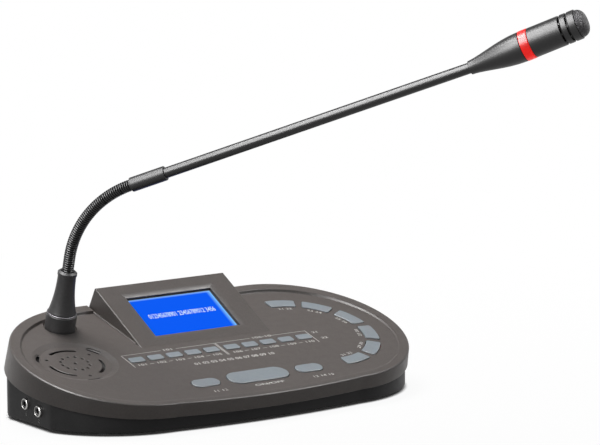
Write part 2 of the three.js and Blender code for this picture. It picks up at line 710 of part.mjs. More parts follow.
function screwBore(place) {
  const high = TRAY_FLOOR + POST_BORE_DEPTH;
  const bore = turnedGeometry([[0, 0], [POST_BORE_RADIUS, 0], [POST_BORE_RADIUS, high], [0, high]], 10);
  return solidOf(bore.translate(place.x, place.y, 0).applyMatrix4(deckInverse));
}

function topShell() {
  const outer = loft([
    ringAt(consoleOutline(-SKIRT_FLARE), lipHeight),
    ringAt(consoleOutline(0), (y) => rimHeight(y) - EDGE_CHAMFER),
    ringAt(consoleOutline(EDGE_CHAMFER), rimHeight),
  ]);
  const hollow = loft([
    ringAt(consoleOutline(SHELL_WALL - SKIRT_FLARE), (y) => lipHeight(y) - OVERRUN),
    ringAt(consoleOutline(SHELL_WALL), () => -SHELL_WALL),
  ]);
  const fieldOutline = consoleOutline(RIM_WIDTH).map((p) => p.clone().add(RIM_SHIFT));
  const field = plate(fieldOutline, 0, OVERRUN);
  const hoodHalf = HOOD_WIDTH / 2 + CLEARANCE;
  const hoodSeat = block(-hoodHalf, hoodHalf, HOOD_TOP_Y - HOOD_RISE, BACK_Y + OVERRUN, 0, OVERRUN);
  const opening = block(
    -HOOD_WIDTH / 2 + OPENING_SIDE_LEDGE,
    HOOD_WIDTH / 2 - OPENING_SIDE_LEDGE,
    HOOD_FRONT_Y + OPENING_FRONT_LEDGE,
    BACK_Y - OPENING_BACK_LEDGE,
    -SHELL_WALL - OVERRUN,
    OVERRUN,
  );
  const padLow = -DISH_DEPTH - DISH_FLOOR;
  const pad = discAt(SPEAKER, DISH_RADIUS + DISH_PAD_MARGIN, padLow, -SHELL_WALL / 2, 40);
  const neckPad = discAt(NECK, COLLAR_RADIUS + 2 * SHELL_WALL, -2 * SHELL_WALL, -SHELL_WALL / 2, 24);
  const neckRecess = discAt(NECK, COLLAR_RADIUS + COLLAR_GAP, -COLLAR_RECESS, OVERRUN, 24);
  const neckHole = discAt(NECK, COLLAR_SHANK_RADIUS + CLEARANCE, -3 * SHELL_WALL, OVERRUN, 24);
  const keyHoles = KEYS.map((key) => plate(key.outline(KEY_GAP), -SHELL_WALL - OVERRUN, OVERRUN));
  const boardPosts = BOARD_POST_PLACES.map((place) =>
    discAt(place, BOARD_POST_RADIUS, BOARD_TOP + CLEARANCE, -SHELL_WALL / 2, 10),
  );
  const body = join(cut(outer, [hollow, field, hoodSeat]), [
    pad,
    neckPad,
    ...boardPosts,
    ...SCREW_PLACES.map(screwPost),
  ]);
  return cut(body, [
    opening,
    speakerDish(),
    ...soundOpenings(),
    neckRecess,
    neckHole,
    ...keyHoles,
    ...SCREW_PLACES.map(screwBore),
  ]);
}

// Base tray, in the desk's frame

// A body turned about a horizontal axis, heading out of the tray's left end.
function endTurned(place, profile, segments) {
  const geometry = turnedGeometry(profile, segments).rotateY(-Math.PI / 2);
  return solidOf(geometry.translate(-FACE_X, place.y, place.z));
}

// Middle of the tray's back wall on its outside.
const trayBackY = () => Math.max(...trayRing(TRAY_INSET, () => 0).map((p) => p.y));

function backTurned(place, profile, segments) {
  const geometry = turnedGeometry(profile, segments).rotateX(-Math.PI / 2);
  return solidOf(geometry.translate(place.x, trayBackY(), place.z));
}

const cylinderProfile = (radius, low, high) => [[0, low], [radius, low], [radius, high], [0, high]];

function baseTray() {
  const wall = loft([
    trayRing(TRAY_INSET, () => 0),
    trayRing(TRAY_INSET, (lip) => lip - CLEARANCE),
  ]);
  const lean = TONGUE_RISE * Math.tan(DECK_TILT);
  const tongueInset = SHELL_WALL + CLEARANCE + lean;
  const tongue = loft([
    trayRing(tongueInset, () => 0),
    trayRing(tongueInset, (lip) => lip + TONGUE_RISE),
  ]);
  const hollow = loft([
    trayRing(TRAY_INSET + TRAY_WALL, () => TRAY_FLOOR),
    trayRing(TRAY_INSET + TRAY_WALL, (lip) => lip + TONGUE_RISE + OVERRUN),
  ]);
  const between = (inset) =>
    block(
      -FACE_X + inset,
      FACE_X - inset,
      FRONT_Y * 2,
      BACK_Y * 2,
      -OVERRUN,
      DECK_HEIGHT * 2,
    );
  const body = wall.add(tongue).intersect(between(0));
  const room = hollow.intersect(between(TRAY_WALL));
  const inward = -TRAY_WALL - OVERRUN;
  const holes = JACK_PLACES.map((place) =>
    endTurned(place, cylinderProfile(JACK_BARREL_RADIUS + CLEARANCE, inward, OVERRUN), 16),
  );
  holes.push(
    backTurned(BUS_PLACE, cylinderProfile(BUS_BODY_RADIUS + CLEARANCE, inward, OVERRUN), 24),
  );
  for (const place of SCREW_PLACES) {
    const sink = SCREW_HEAD_DEPTH + CLEARANCE;
    holes.push(discAt(place, SCREW_HEAD_RADIUS + CLEARANCE, -OVERRUN, sink, 12));
    holes.push(discAt(place, SCREW_SHANK_RADIUS + CLEARANCE, -OVERRUN, TRAY_FLOOR + OVERRUN, 10));
  }
  for (const place of FOOT_PLACES) {
    holes.push(discAt(place, FOOT_RADIUS + CLEARANCE, -OVERRUN, FOOT_RECESS, 16));
  }
  return cut(body, [room, ...holes]);
}

function caseScrew(place) {
  const head = SCREW_HEAD_DEPTH;
  const profile = [
    [0, 0],
    [SCREW_HEAD_RADIUS, 0],
    [SCREW_HEAD_RADIUS, head],
    [SCREW_SHANK_RADIUS, head],
    [SCREW_SHANK_RADIUS, SCREW_LENGTH],
    [0, SCREW_LENGTH],
  ];
  return solidOf(turnedGeometry(profile, 10).translate(place.x, place.y, 0));
}

const foot = (place) => discAt(place, FOOT_RADIUS, -FOOT_PROUD, FOOT_RECESS - CLEARANCE, 16);

function jackSocket(place) {
  const inside = -TRAY_WALL - CLEARANCE;
  const bodyLow = inside - JACK_BODY.length;
  const barrel = endTurned(place, cylinderProfile(JACK_BARREL_RADIUS, bodyLow, JACK_NUT_THICKNESS), 16);
  const body = block(
    -FACE_X - inside,
    -FACE_X - bodyLow,
    place.y - JACK_BODY.width / 2,
    place.y + JACK_BODY.width / 2,
    place.z - JACK_BODY.height / 2,
    place.z + JACK_BODY.height / 2,
  );
  const bore = endTurned(place, cylinderProfile(JACK_BORE_RADIUS, bodyLow + CLEARANCE, OVERRUN), 12);
  return join(barrel, [body]).subtract(bore);
}

function jackNut(place) {
  const low = CLEARANCE;
  const high = low + JACK_NUT_THICKNESS;
  const inner = JACK_BARREL_RADIUS + CLEARANCE;
  const outer = inner + JACK_NUT_WALL;
  const edge = JACK_NUT_WALL * 2 / 3;
  const profile = [
    [inner, low],
    [outer, low],
    [outer, high - edge],
    [outer - edge, high],
    [inner, high],
    [inner, low],
  ];
  return endTurned(place, profile, 20);
}

function busSocket() {
  const low = -TRAY_WALL - BUS_LENGTH;
  const face = CLEARANCE + BUS_FLANGE_THICKNESS;
  const flangeRadius = BUS_BODY_RADIUS + BUS_FLANGE;
  const profile = [
    [0, low],
    [BUS_BODY_RADIUS, low],
    [BUS_BODY_RADIUS, CLEARANCE],
    [flangeRadius, CLEARANCE],
    [flangeRadius, face],
    [BUS_BORE_RADIUS, face],
    [BUS_BORE_RADIUS, face - BUS_BORE_DEPTH],
    [0, face - BUS_BORE_DEPTH],
  ];
  return backTurned(BUS_PLACE, profile, 24);
}

// Boards under the keys

// The main board's outline: a strip under the key rows and a wing under the arc of keys.
function boardPlan(inset, low, high) {
  const right = CONSOLE_WIDTH / 2;
  const front = FRONT_Y + BOARD_FRONT_MARGIN + inset;
  const stripBack = HOOD_FRONT_Y - BOARD_HOOD_SPACE - inset;
  const strip = block(BOARD_LEFT_X + inset, right, front, stripBack, low, high);
  const wingLeft = HOOD_WIDTH / 2 + BOARD_HOOD_SPACE + inset;
  const wing = block(wingLeft, right, front, BACK_Y - BOARD_BACK_MARGIN - inset, low, high);
  return join(strip, [wing]).intersect(plate(consoleOutline(BOARD_INSET + inset), low, high));
}

function sheetWithPosts(inset, low, high) {
  const screwHoles = SCREW_PLACES.map((place) => {
    const run = (POST_RADIUS + BOARD_POST_HOLE_GAP) / Math.cos(DECK_TILT);
    const lean = (high + low) / 2 * Math.tan(DECK_TILT);
    const y = place.y / Math.cos(DECK_TILT) + lean;
    return discAt({ x: place.x, y }, run, low - OVERRUN, high + OVERRUN, 12);
  });
  return cut(boardPlan(inset, low, high), screwHoles);
}

const mainBoard = () => sheetWithPosts(0, BOARD_TOP - BOARD_THICKNESS, BOARD_TOP);

function keypadMat() {
  const low = MAT_TOP - MAT_THICKNESS;
  const posts = BOARD_POST_PLACES.map((place) =>
    discAt(place, BOARD_POST_RADIUS + BOARD_POST_HOLE_GAP, low - OVERRUN, MAT_TOP + OVERRUN, 10),
  );
  return cut(sheetWithPosts(CLEARANCE, low, MAT_TOP), posts);
}

// Loudspeaker, hung under the dish
const DRIVER_TOP = -DISH_DEPTH - DISH_FLOOR - CLEARANCE;

function speakerFrame() {
  const throat = MAGNET_RADIUS - DRIVER_SHEET;
  const sheet = DRIVER_SHEET;
  const bottom = DRIVER_TOP - DRIVER_DEPTH;
  const lip = DRIVER_RADIUS - DRIVER_FLANGE;
  const hub = CONE_THROAT_RADIUS;
  return turned(
    [
      [hub, bottom],
      [throat, bottom],
      [lip + sheet, DRIVER_TOP - sheet],
      [DRIVER_RADIUS, DRIVER_TOP - sheet],
      [DRIVER_RADIUS, DRIVER_TOP],
      [lip, DRIVER_TOP],
      [throat, bottom + sheet],
      [hub, bottom + sheet],
      [hub, bottom],
    ],
    32,
  );
}

function speakerCone() {
  const top = DRIVER_TOP - CLEARANCE;
  const sheet = DRIVER_SHEET / 2;
  const rim = DRIVER_RADIUS - DRIVER_FLANGE - sheet - 2 * CLEARANCE;
  const bottom = top - CONE_DEPTH;
  return turned(
    [
      [0, bottom - sheet],
      [CONE_THROAT_RADIUS, bottom - sheet],
      [rim, top - sheet],
      [rim, top],
      [rim - sheet, top],
      [CONE_THROAT_RADIUS, bottom],
      [0, bottom],
    ],
    32,
  );
}

function speakerMagnet() {
  const top = DRIVER_TOP - DRIVER_DEPTH - CLEARANCE;
  return disc(MAGNET_RADIUS, top - MAGNET_DEPTH, top, 24);
}

// Neck mount

function neckCollar() {
  const seat = -COLLAR_RECESS + CLEARANCE;
  const edge = COLLAR_HEIGHT / 12;
  return turned(
    [
      [COLLAR_BORE_RADIUS, -COLLAR_SHANK_DEPTH],
      [COLLAR_SHANK_RADIUS, -COLLAR_SHANK_DEPTH],
      [COLLAR_SHANK_RADIUS, seat],
      [COLLAR_RADIUS, seat],
      [COLLAR_RADIUS, COLLAR_HEIGHT - edge],
      [COLLAR_RADIUS - edge, COLLAR_HEIGHT],
      [COLLAR_BORE_RADIUS, COLLAR_HEIGHT],
      [COLLAR_BORE_RADIUS, -COLLAR_SHANK_DEPTH],
    ],
    28,
  );
}

function bootRing() {
  const low = COLLAR_HEIGHT + CLEARANCE;
  const radius = COLLAR_RADIUS - BOOT_RING_STEP;
  return sleeve(radius, COLLAR_BORE_RADIUS, low, low + BOOT_RING_THICKNESS, 28);
}

// How far an end face of the neck is coned back at a radius, to leave room for the bends.
const coneBack = (radius) =>
  (NECK_SETBACK * (radius - NECK_BORE_RADIUS)) / (NECK_VALLEY_RADIUS - NECK_BORE_RADIUS);

// The boot: a cone with hollow flanks, and a chamfered cap that the neck comes out of.
function neckBoot() {
  const low = COLLAR_HEIGHT + BOOT_RING_THICKNESS + 2 * CLEARANCE;
  const shoulder = BOOT_TOP - BOOT_CAP_HEIGHT;
  const chamfer = BOOT_CAP_HEIGHT / 3;
  const flank = [];
  const steps = 5;
  for (let i = 0; i <= steps; i++) {
    const up = i / steps;
    const radius = BOOT_WAIST_RADIUS + (BOOT_RADIUS - BOOT_WAIST_RADIUS) * (1 - up) ** BOOT_HOLLOW;
    flank.push([radius, low + (shoulder - low) * up]);
  }
  return turned(
    [
      [NECK_BORE_RADIUS, low],
      ...flank,
      [BOOT_WAIST_RADIUS + chamfer / 3, shoulder],
      [BOOT_WAIST_RADIUS + chamfer / 3, BOOT_TOP - chamfer],
      [BOOT_MOUTH_RADIUS + chamfer / 3, BOOT_TOP],
      [BOOT_MOUTH_RADIUS, BOOT_TOP],
      [BOOT_MOUTH_RADIUS, NECK_START - coneBack(BOOT_MOUTH_RADIUS)],
      [NECK_BORE_RADIUS, NECK_START],
      [NECK_BORE_RADIUS, low],
    ],
    28,
  );
}

function neckNut() {
  const top = -2 * SHELL_WALL - CLEARANCE;
  const low = top - NUT_THICKNESS;
  const bore = disc(COLLAR_SHANK_RADIUS + CLEARANCE, low - OVERRUN, top + OVERRUN, 28);
  return disc(COLLAR_SHANK_RADIUS + NUT_WALL, low, top, 6).subtract(bore);
}

// Gooseneck, in the arm's plane: x is the arm's heading over the deck, z stands out of the deck

const NECK_END = NECK_STRAIGHT + NECK_BEND_RADIUS * NECK_BEND;

function neckAt(distance) {
  const angle = Math.max(0, distance - NECK_STRAIGHT) / NECK_BEND_RADIUS;
  const x = NECK_BEND_RADIUS * (1 - Math.cos(angle));
  const z = Math.min(distance, NECK_STRAIGHT) + NECK_BEND_RADIUS * Math.sin(angle);
  return { x, z, angle };
}

function neckRing(distance, radius) {
  const { x, z, angle } = neckAt(distance);
  const points = [];
  for (let i = 0; i < NECK_SIDES; i++) {
    const turn = (i * 2 * Math.PI) / NECK_SIDES;
    const out = radius * Math.cos(turn);
    const side = radius * Math.sin(turn);
    points.push(new THREE.Vector3(x + out * Math.cos(angle), side, z - out * Math.sin(angle)));
  }
  return points;
}

// A tube through outer rings and bore rings, closed by a flat or coned ring at each end.
function tubeOf(outer, bore) {
  const count = NECK_SIDES;
  const index = [];
  const band = (low, high) => {
    for (let i = 0; i < count; i++) {
      const next = (i + 1) % count;
      index.push(low + i, low + next, high + next, low + i, high + next, high + i);
    }
  };
  for (let r = 0; r + 1 < outer.length; r++) band(r * count, (r + 1) * count);
  const boreStart = outer.length * count;
  for (let r = 0; r + 1 < bore.length; r++) band(boreStart + (r + 1) * count, boreStart + r * count);
  band(boreStart, 0);
  band((outer.length - 1) * count, boreStart + (bore.length - 1) * count);
  return solidOf(geometryOf([...outer.flat(), ...bore.flat()], index));
}

function segmentSpan(number) {
  const length = (NECK_END - NECK_START - NECK_GAP) / NECK_SEGMENTS - NECK_GAP;
  const from = NECK_START + NECK_GAP + number * (length + NECK_GAP);
  return { from, to: from + length };
}

function neckSegment(number) {
  const { from, to } = segmentSpan(number);
  const low = from + NECK_SETBACK;
  const pitch = (to - NECK_SETBACK - low) / NECK_RIBS;
  const outer = [];
  for (let i = 0; i <= 2 * NECK_RIBS; i++) {
    const radius = i % 2 ? NECK_CREST_RADIUS : NECK_VALLEY_RADIUS;
    outer.push(neckRing(low + (i * pitch) / 2, radius));
  }
  const bore = [];
  for (let i = 0; i < NECK_RIBS; i += RIBS_PER_BORE_RING) {
    bore.push(neckRing(from + i * pitch, NECK_BORE_RADIUS));
  }
  bore.push(neckRing(to, NECK_BORE_RADIUS));
  return tubeOf(outer, bore);
}

// Ferrule and stem, along the stem's axis from the neck's end

function neckFerrule() {
  const bore = FERRULE_RADIUS - FERRULE_WALL;
  const chamfer = FERRULE_CHAMFER;
  return turned(
    [
      [NECK_BORE_RADIUS, 0],
      [FERRULE_RADIUS - chamfer, coneBack(FERRULE_RADIUS - chamfer)],
      [FERRULE_RADIUS, coneBack(FERRULE_RADIUS) + chamfer],
      [FERRULE_RADIUS, FERRULE_LENGTH - chamfer],
      [FERRULE_RADIUS - chamfer, FERRULE_LENGTH],
      [bore, FERRULE_LENGTH],
      [bore, FERRULE_FLOOR],
      [NECK_BORE_RADIUS, FERRULE_FLOOR],
      [NECK_BORE_RADIUS, 0],
    ],
    20,
  );
}

const HEAD_START = FERRULE_LENGTH + STEM_LENGTH;

function stemTube() {
  const low = FERRULE_FLOOR + CLEARANCE;
  const high = HEAD_START + STEM_IN_HEAD - CLEARANCE;
  return sleeve(STEM_RADIUS, STEM_BORE_RADIUS, low, high, 16);
}

// Microphone head, along its own axis from the end of the stem's straight

// The head's first turned piece: it starts as a small neck and swells to the light ring. Its
// socket widens inwards, because the stem leans in it by the head's lift.
function headCone() {
  const mouth = STEM_RADIUS + CLEARANCE;
  const neck = mouth + HEAD_NECK_LIP;
  const flank = [];
  const steps = 7;
  for (let i = 0; i <= steps; i++) {
    const along = i / steps;
    const swell = Math.sin((along * Math.PI) / 2) ** HEAD_SWELL;
    const radius = neck + (HEAD_RADIUS - neck) * swell;
    flank.push([radius, HEAD_CONE_LENGTH * along]);
  }
  const lean = STEM_IN_HEAD * Math.tan(rad(HEAD_LIFT_DEG));
  const floor = STEM_IN_HEAD + HEAD_WALL;
  const room = HEAD_RADIUS - 2 * HEAD_WALL;
  return turned(
    [
      [STEM_BORE_RADIUS, floor],
      [STEM_BORE_RADIUS, STEM_IN_HEAD],
      [mouth + lean, STEM_IN_HEAD],
      [mouth, 0],
      ...flank,
      [room, HEAD_CONE_LENGTH],
      [STEM_BORE_RADIUS, floor],
    ],
    28,
  );
}

const RING_START = HEAD_CONE_LENGTH + CLEARANCE;
const BARREL_START = RING_START + LIGHT_RING_LENGTH + CLEARANCE;
const BARREL_END = BARREL_START + BARREL_LENGTH;

function lightRing() {
  const outer = HEAD_RADIUS + LIGHT_RING_PROUD;
  const inner = outer - LIGHT_RING_WALL;
  return sleeve(outer, inner, RING_START, RING_START + LIGHT_RING_LENGTH, 28);
}

function headBarrel() {
  const inner = BARREL_FRONT_RADIUS - HEAD_WALL;
  const body = turned(
    [
      [inner, BARREL_START],
      [HEAD_RADIUS, BARREL_START],
      [BARREL_FRONT_RADIUS, BARREL_END],
      [inner, BARREL_END],
      [inner, BARREL_START],
    ],
    24,
  );
  const vents = [];
  for (let row = 0; row < VENT_ROWS; row++) {
    const middle = BARREL_END - VENT_FROM_FRONT - row * VENT_PITCH;
    const low = middle - GROOVE_WIDTH / 2;
    const floor = BARREL_FRONT_RADIUS - GROOVE_DEPTH;
    vents.push(sleeve(HEAD_RADIUS * 2, floor, low, low + GROOVE_WIDTH, 24));
    for (let i = 0; i < VENT_COUNT; i++) {
      const box = new THREE.BoxGeometry(HEAD_RADIUS, VENT_WIDTH, VENT_LENGTH);
      const turn = ((i + row / 2) * 2 * Math.PI) / VENT_COUNT;
      vents.push(solidOf(box.translate(HEAD_RADIUS, 0, middle).rotateZ(turn)));
    }
  }
  return cut(body, vents);
}

function grilleCap() {
  const low = BARREL_END + CLEARANCE;
  const high = low + GRILLE_SKIRT + GRILLE_EDGE;
  const sheet = GRILLE_SHEET;
  const outer = [];
  const inner = [];
  const steps = 5;
  for (let i = 0; i <= steps; i++) {
    const turn = (i * Math.PI) / 2 / steps;
    const flat = BARREL_FRONT_RADIUS - GRILLE_EDGE;
    const bend = GRILLE_EDGE - sheet;
    outer.push([flat + GRILLE_EDGE * Math.cos(turn), high - GRILLE_EDGE * (1 - Math.sin(turn))]);
    inner.unshift([flat + bend * Math.cos(turn), high - sheet - bend * (1 - Math.sin(turn))]);
  }
  const profile = [
    [BARREL_FRONT_RADIUS - sheet, low],
    [BARREL_FRONT_RADIUS, low],
    ...outer,
    [0, high],
    [0, high - sheet],
    ...inner,
    [BARREL_FRONT_RADIUS - sheet, low],
  ];
  return turned(profile, 24);
}

function capsule() {
  const high = BARREL_END - CAPSULE_FROM_FRONT;
  return disc(BARREL_FRONT_RADIUS - HEAD_WALL - CLEARANCE, high - CAPSULE_LENGTH, high, 24);
}

// Assembly

const microphone = new THREE.Group();

// The tray and what it carries
microphone.add(meshOf("base_tray", baseTray(), COLOURS.tray));
microphone.add(meshOf("bus_socket", busSocket(), COLOURS.black));
SCREW_PLACES.forEach((place, i) => {
  microphone.add(meshOf(`case_screw_${i + 1}`, caseScrew(place), COLOURS.steel));
});
FOOT_PLACES.forEach((place, i) => {
  microphone.add(meshOf(`rubber_foot_${i + 1}`, foot(place), COLOURS.rubber));
});
for (const place of JACK_PLACES) {
  microphone.add(meshOf(`${place.name}_jack`, jackSocket(place), COLOURS.black));
  microphone.add(meshOf(`${place.name}_jack_nut`, jackNut(place), COLOURS.chrome));
}

// The deck and what is drawn in its frame
const deck = new THREE.Group();
deck.applyMatrix4(deckMatrix);
deck.add(meshOf("top_shell", topShell(), COLOURS.deck));
deck.add(meshOf("display_hood", displayHood(), COLOURS.deck));
deck.add(meshOf("display_frame", displayFrame(), COLOURS.black));
deck.add(meshOf("display_panel", displayPanel(), COLOURS.display));
deck.add(meshOf("display_board", displayBoard(), COLOURS.board));
deck.add(meshOf("keypad_mat", keypadMat(), COLOURS.rubber));
deck.add(meshOf("main_board", mainBoard(), COLOURS.board));
for (const key of KEYS) {
  deck.add(meshOf(key.name, keySolid(key), COLOURS.key));
}
microphone.add(deck);

const speaker = new THREE.Group();
speaker.position.set(SPEAKER.x, SPEAKER.y, 0);
speaker.add(meshOf("speaker_frame", speakerFrame(), COLOURS.steel));
speaker.add(meshOf("speaker_cone", speakerCone(), COLOURS.paper));
speaker.add(meshOf("speaker_magnet", speakerMagnet(), COLOURS.black));
deck.add(speaker);

// The arm, on an axis square to the deck
const arm = new THREE.Group();
arm.position.set(NECK.x, NECK.y, 0);
arm.rotation.z = rad(ARM_HEADING_DEG);
arm.add(meshOf("neck_collar", neckCollar(), COLOURS.head));
arm.add(meshOf("neck_nut", neckNut(), COLOURS.steel));
arm.add(meshOf("boot_ring", bootRing(), COLOURS.chrome));
arm.add(meshOf("neck_boot", neckBoot(), COLOURS.head));
for (let i = 0; i < NECK_SEGMENTS; i++) {
  arm.add(meshOf(`neck_segment_${i + 1}`, neckSegment(i), COLOURS.neck));
}
deck.add(arm);

const neckEnd = neckAt(NECK_END);
const stem = new THREE.Group();
stem.position.set(neckEnd.x, 0, neckEnd.z);
stem.rotation.y = neckEnd.angle;
stem.add(meshOf("neck_ferrule", neckFerrule(), COLOURS.head));
stem.add(meshOf("stem_tube", stemTube(), COLOURS.neck));
arm.add(stem);

const head = new THREE.Group();
head.position.z = HEAD_START;
head.rotation.y = -rad(HEAD_LIFT_DEG);
head.add(meshOf("head_cone", headCone(), COLOURS.head));
head.add(meshOf("light_ring", lightRing(), COLOURS.light));
head.add(meshOf("head_barrel", headBarrel(), COLOURS.head));
head.add(meshOf("grille_cap", grilleCap(), COLOURS.black));
head.add(meshOf("capsule", capsule(), COLOURS.steel));
stem.add(head);

export default microphone;
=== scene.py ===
"""A desk console with a gooseneck microphone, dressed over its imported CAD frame.

Sizes are in metres, +Z up. Most pieces are drawn in the deck's own frame: x to the right, y up
the slope, z out of the deck. A matrix then takes them to the part's frame, which the solids use.
"""

import math
from collections import namedtuple
from functools import partial

import bmesh
import bpy
from bpy.props import (
    FloatProperty,
    FloatVectorProperty,
    IntProperty,
    PointerProperty,
    StringProperty,
)
from mathutils import Matrix, Vector


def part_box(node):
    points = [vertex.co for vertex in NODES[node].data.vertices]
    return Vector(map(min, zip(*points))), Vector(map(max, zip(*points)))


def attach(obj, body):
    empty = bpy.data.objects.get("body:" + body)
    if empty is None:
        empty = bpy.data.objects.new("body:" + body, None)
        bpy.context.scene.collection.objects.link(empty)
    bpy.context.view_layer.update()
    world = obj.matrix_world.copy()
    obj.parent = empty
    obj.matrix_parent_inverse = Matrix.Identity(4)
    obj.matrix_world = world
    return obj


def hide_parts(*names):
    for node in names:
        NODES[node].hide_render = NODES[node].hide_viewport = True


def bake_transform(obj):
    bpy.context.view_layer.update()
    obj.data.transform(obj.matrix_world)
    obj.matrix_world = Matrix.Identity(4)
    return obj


bl_info = {
    "name": "Desk console with a gooseneck microphone",
    "version": (1, 0, 0),
    "blender": (4, 5, 0),
    "location": "View3D > Sidebar > Console",
    "description": "Builds the console's shells, keys, display, gooseneck and microphone head",
    "category": "Object",
}

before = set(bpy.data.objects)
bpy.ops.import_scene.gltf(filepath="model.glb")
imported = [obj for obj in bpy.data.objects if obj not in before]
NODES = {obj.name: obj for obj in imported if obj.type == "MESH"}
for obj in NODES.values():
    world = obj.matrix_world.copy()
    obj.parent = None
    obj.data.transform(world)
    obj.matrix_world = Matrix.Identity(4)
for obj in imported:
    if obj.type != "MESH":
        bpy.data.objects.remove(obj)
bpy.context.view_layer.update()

MM = 0.001
TINY, MERGED = 1e-7, 1e-6
BASE = "console"
HEAD = "microphone"


# Colours and nodes


def linear(hex_colour):
    """An sRGB hex colour as linear red, green, blue and alpha."""
    parts = [int(hex_colour[i : i + 2], 16) / 255 for i in (0, 2, 4)]
    return (*(c / 12.92 if c <= 0.04045 else ((c + 0.055) / 1.055) ** 2.4 for c in parts), 1.0)


def grey(value):
    return (value, value, value, 1.0)


def finish(name):
    """A colour of the user's finishes, with alpha."""
    return (*getattr(bpy.context.scene.console_finish, name), 1.0)


def empty_tree(owner):
    """The node tree of a material or a world, with nothing in it."""
    owner.use_nodes = True
    owner.node_tree.nodes.clear()
    return owner.node_tree


def add_node(tree, kind, sockets=None, stops=(), **settings):
    """Adds a node, sets its fields and its (position, colour) stops, and sets or links its
    inputs."""
    node = tree.nodes.new(kind)
    for field, value in settings.items():
        setattr(node, field, value)
    for key, value in (sockets or {}).items():
        if isinstance(value, bpy.types.NodeSocket):
            tree.links.new(value, node.inputs[key])
        else:
            node.inputs[key].default_value = value
    for i, (position, colour) in enumerate(stops):
        elements = node.color_ramp.elements
        if i == len(elements):
            elements.new(1.0)
        elements[i].position = position
        elements[i].color = colour
    return node


def lumps(tree, spacing, detail=3.0, roughness=0.55):
    """Values from 0 to 1 that rise and fall over lumps about spacing metres apart."""
    sockets = {
        "Vector": add_node(tree, "ShaderNodeTexCoord").outputs["Object"],
        "Scale": 1 / spacing,
        "Detail": detail,
        "Roughness": roughness,
    }
    return add_node(tree, "ShaderNodeTexNoise", sockets).outputs["Fac"]


def varied(tree, colour, spacing, amount):
    """A colour that wanders a little lighter and darker over the surface."""
    most_lumps = (0.35, 0.65)
    shades = [(*(c * share for c in colour[:3]), 1.0) for share in (1 - amount, 1 + amount)]
    stops = zip(most_lumps, shades)
    sockets = {"Fac": lumps(tree, spacing)}
    return add_node(tree, "ShaderNodeValToRGB", sockets, stops).outputs["Color"]


def roughened(tree, middle, spread, spacing):
    """Roughness that wanders about its middle value."""
    # Nearly all of the lumps' values lie between 0.3 and 0.7.
    sockets = {
        "Value": lumps(tree, spacing),
        "From Min": 0.3,
        "From Max": 0.7,
        "To Min": middle - spread,
        "To Max": middle + spread,
    }
    return add_node(tree, "ShaderNodeMapRange", sockets).outputs["Result"]


def grained(tree, spacing, distance, strength, **fineness):
    """The normals of a surface with fine lumps."""
    sockets = {
        "Height": lumps(tree, spacing, **fineness),
        "Distance": distance,
        "Strength": strength,
    }
    return add_node(tree, "ShaderNodeBump", sockets).outputs["Normal"]


# Materials, each as what goes into its Principled shader


def moulded_abs(tree):
    """Moulded ABS with a spark-eroded texture: a dry grey whose fine grain breaks up the gloss."""
    # The real grain is about 0.1 mm; it is drawn at 0.7 mm, so that it shows.
    roughness = bpy.context.scene.console_finish.deck_roughness
    return {
        "Base Color": varied(tree, finish("deck"), 1.1 * MM, 0.06),
        "Roughness": roughened(tree, roughness, 0.05, 6 * MM),
        "IOR": 1.53,
        "Specular IOR Level": 0.24,
        "Normal": grained(tree, 0.7 * MM, 0.05 * MM, 0.4, detail=2.0, roughness=0.6),
    }


def painted_steel(tree):
    """Powder-coated steel: black with a slight orange peel that softens its reflections."""
    return {
        "Base Color": varied(tree, finish("tray"), 1.3 * MM, 0.12),
        "Roughness": roughened(tree, 0.5, 0.05, 9 * MM),
        "IOR": 1.5,
        "Specular IOR Level": 0.15,
        "Normal": grained(tree, 1.4 * MM, 0.06 * MM, 0.5, detail=1.0, roughness=0.5),
    }


def key_plastic(tree):
    """Satin polycarbonate key tops: pale and cool, smooth enough for a broad soft highlight."""
    return {
        "Base Color": varied(tree, finish("keys"), 1.5 * MM, 0.03),
        "Roughness": roughened(tree, 0.42, 0.04, 4 * MM),
        "IOR": 1.58,
        "Subsurface Weight": 0.04,
        "Subsurface Scale": 0.6 * MM,
        "Normal": grained(tree, 0.8 * MM, 0.02 * MM, 0.4),
    }


def neoprene(tree):
    """Moulded neoprene: black, dull and slightly dusty."""
    return {
        "Base Color": varied(tree, linear("1b1b1b"), 3 * MM, 0.25),
        "Roughness": roughened(tree, 0.85, 0.06, 2 * MM),
        "IOR": 1.52,
        "Normal": grained(tree, 0.9 * MM, 0.05 * MM, 0.5),
    }


def zinc_plate(tree):
    """Zinc-plated steel: a cool grey metal with a cloudy, crystalline gloss."""
    return {
        "Base Color": varied(tree, linear("b4b6b8"), 2.5 * MM, 0.15),
        "Metallic": 1.0,
        "Roughness": roughened(tree, 0.36, 0.12, 2 * MM),
    }


def chrome(tree):
    """Satin nickel-chrome plate on turned brass: a soft, slightly cloudy mirror."""
    return {
        "Base Color": linear("a2a19f"),
        "Metallic": 1.0,
        "Roughness": roughened(tree, 0.3, 0.05, 1.5 * MM),
    }


def nickel(tree):
    """Dark satin nickel plate: a thin grey gleam where the boot meets its collar."""
    return {
        "Base Color": varied(tree, linear("626063"), 2 * MM, 0.1),
        "Metallic": 1.0,
        "Roughness": roughened(tree, 0.5, 0.05, 2 * MM),
    }


def solder_mask(tree):
    """Glass-epoxy board under green solder mask, with copper tracks that show as lighter lines."""
    tracks = add_node(
        tree,
        "ShaderNodeTexBrick",
        {
            "Vector": add_node(tree, "ShaderNodeTexCoord").outputs["Object"],
            "Color1": linear("1f5f38"),
            "Color2": linear("236b40"),
            "Mortar": linear("3b8a55"),
            "Scale": 1 / (9 * MM),
            "Mortar Size": 0.05,
            "Bias": 0.2,
        },
    )
    return {"Base Color": tracks.outputs["Color"], "Roughness": 0.4, "IOR": 1.55}


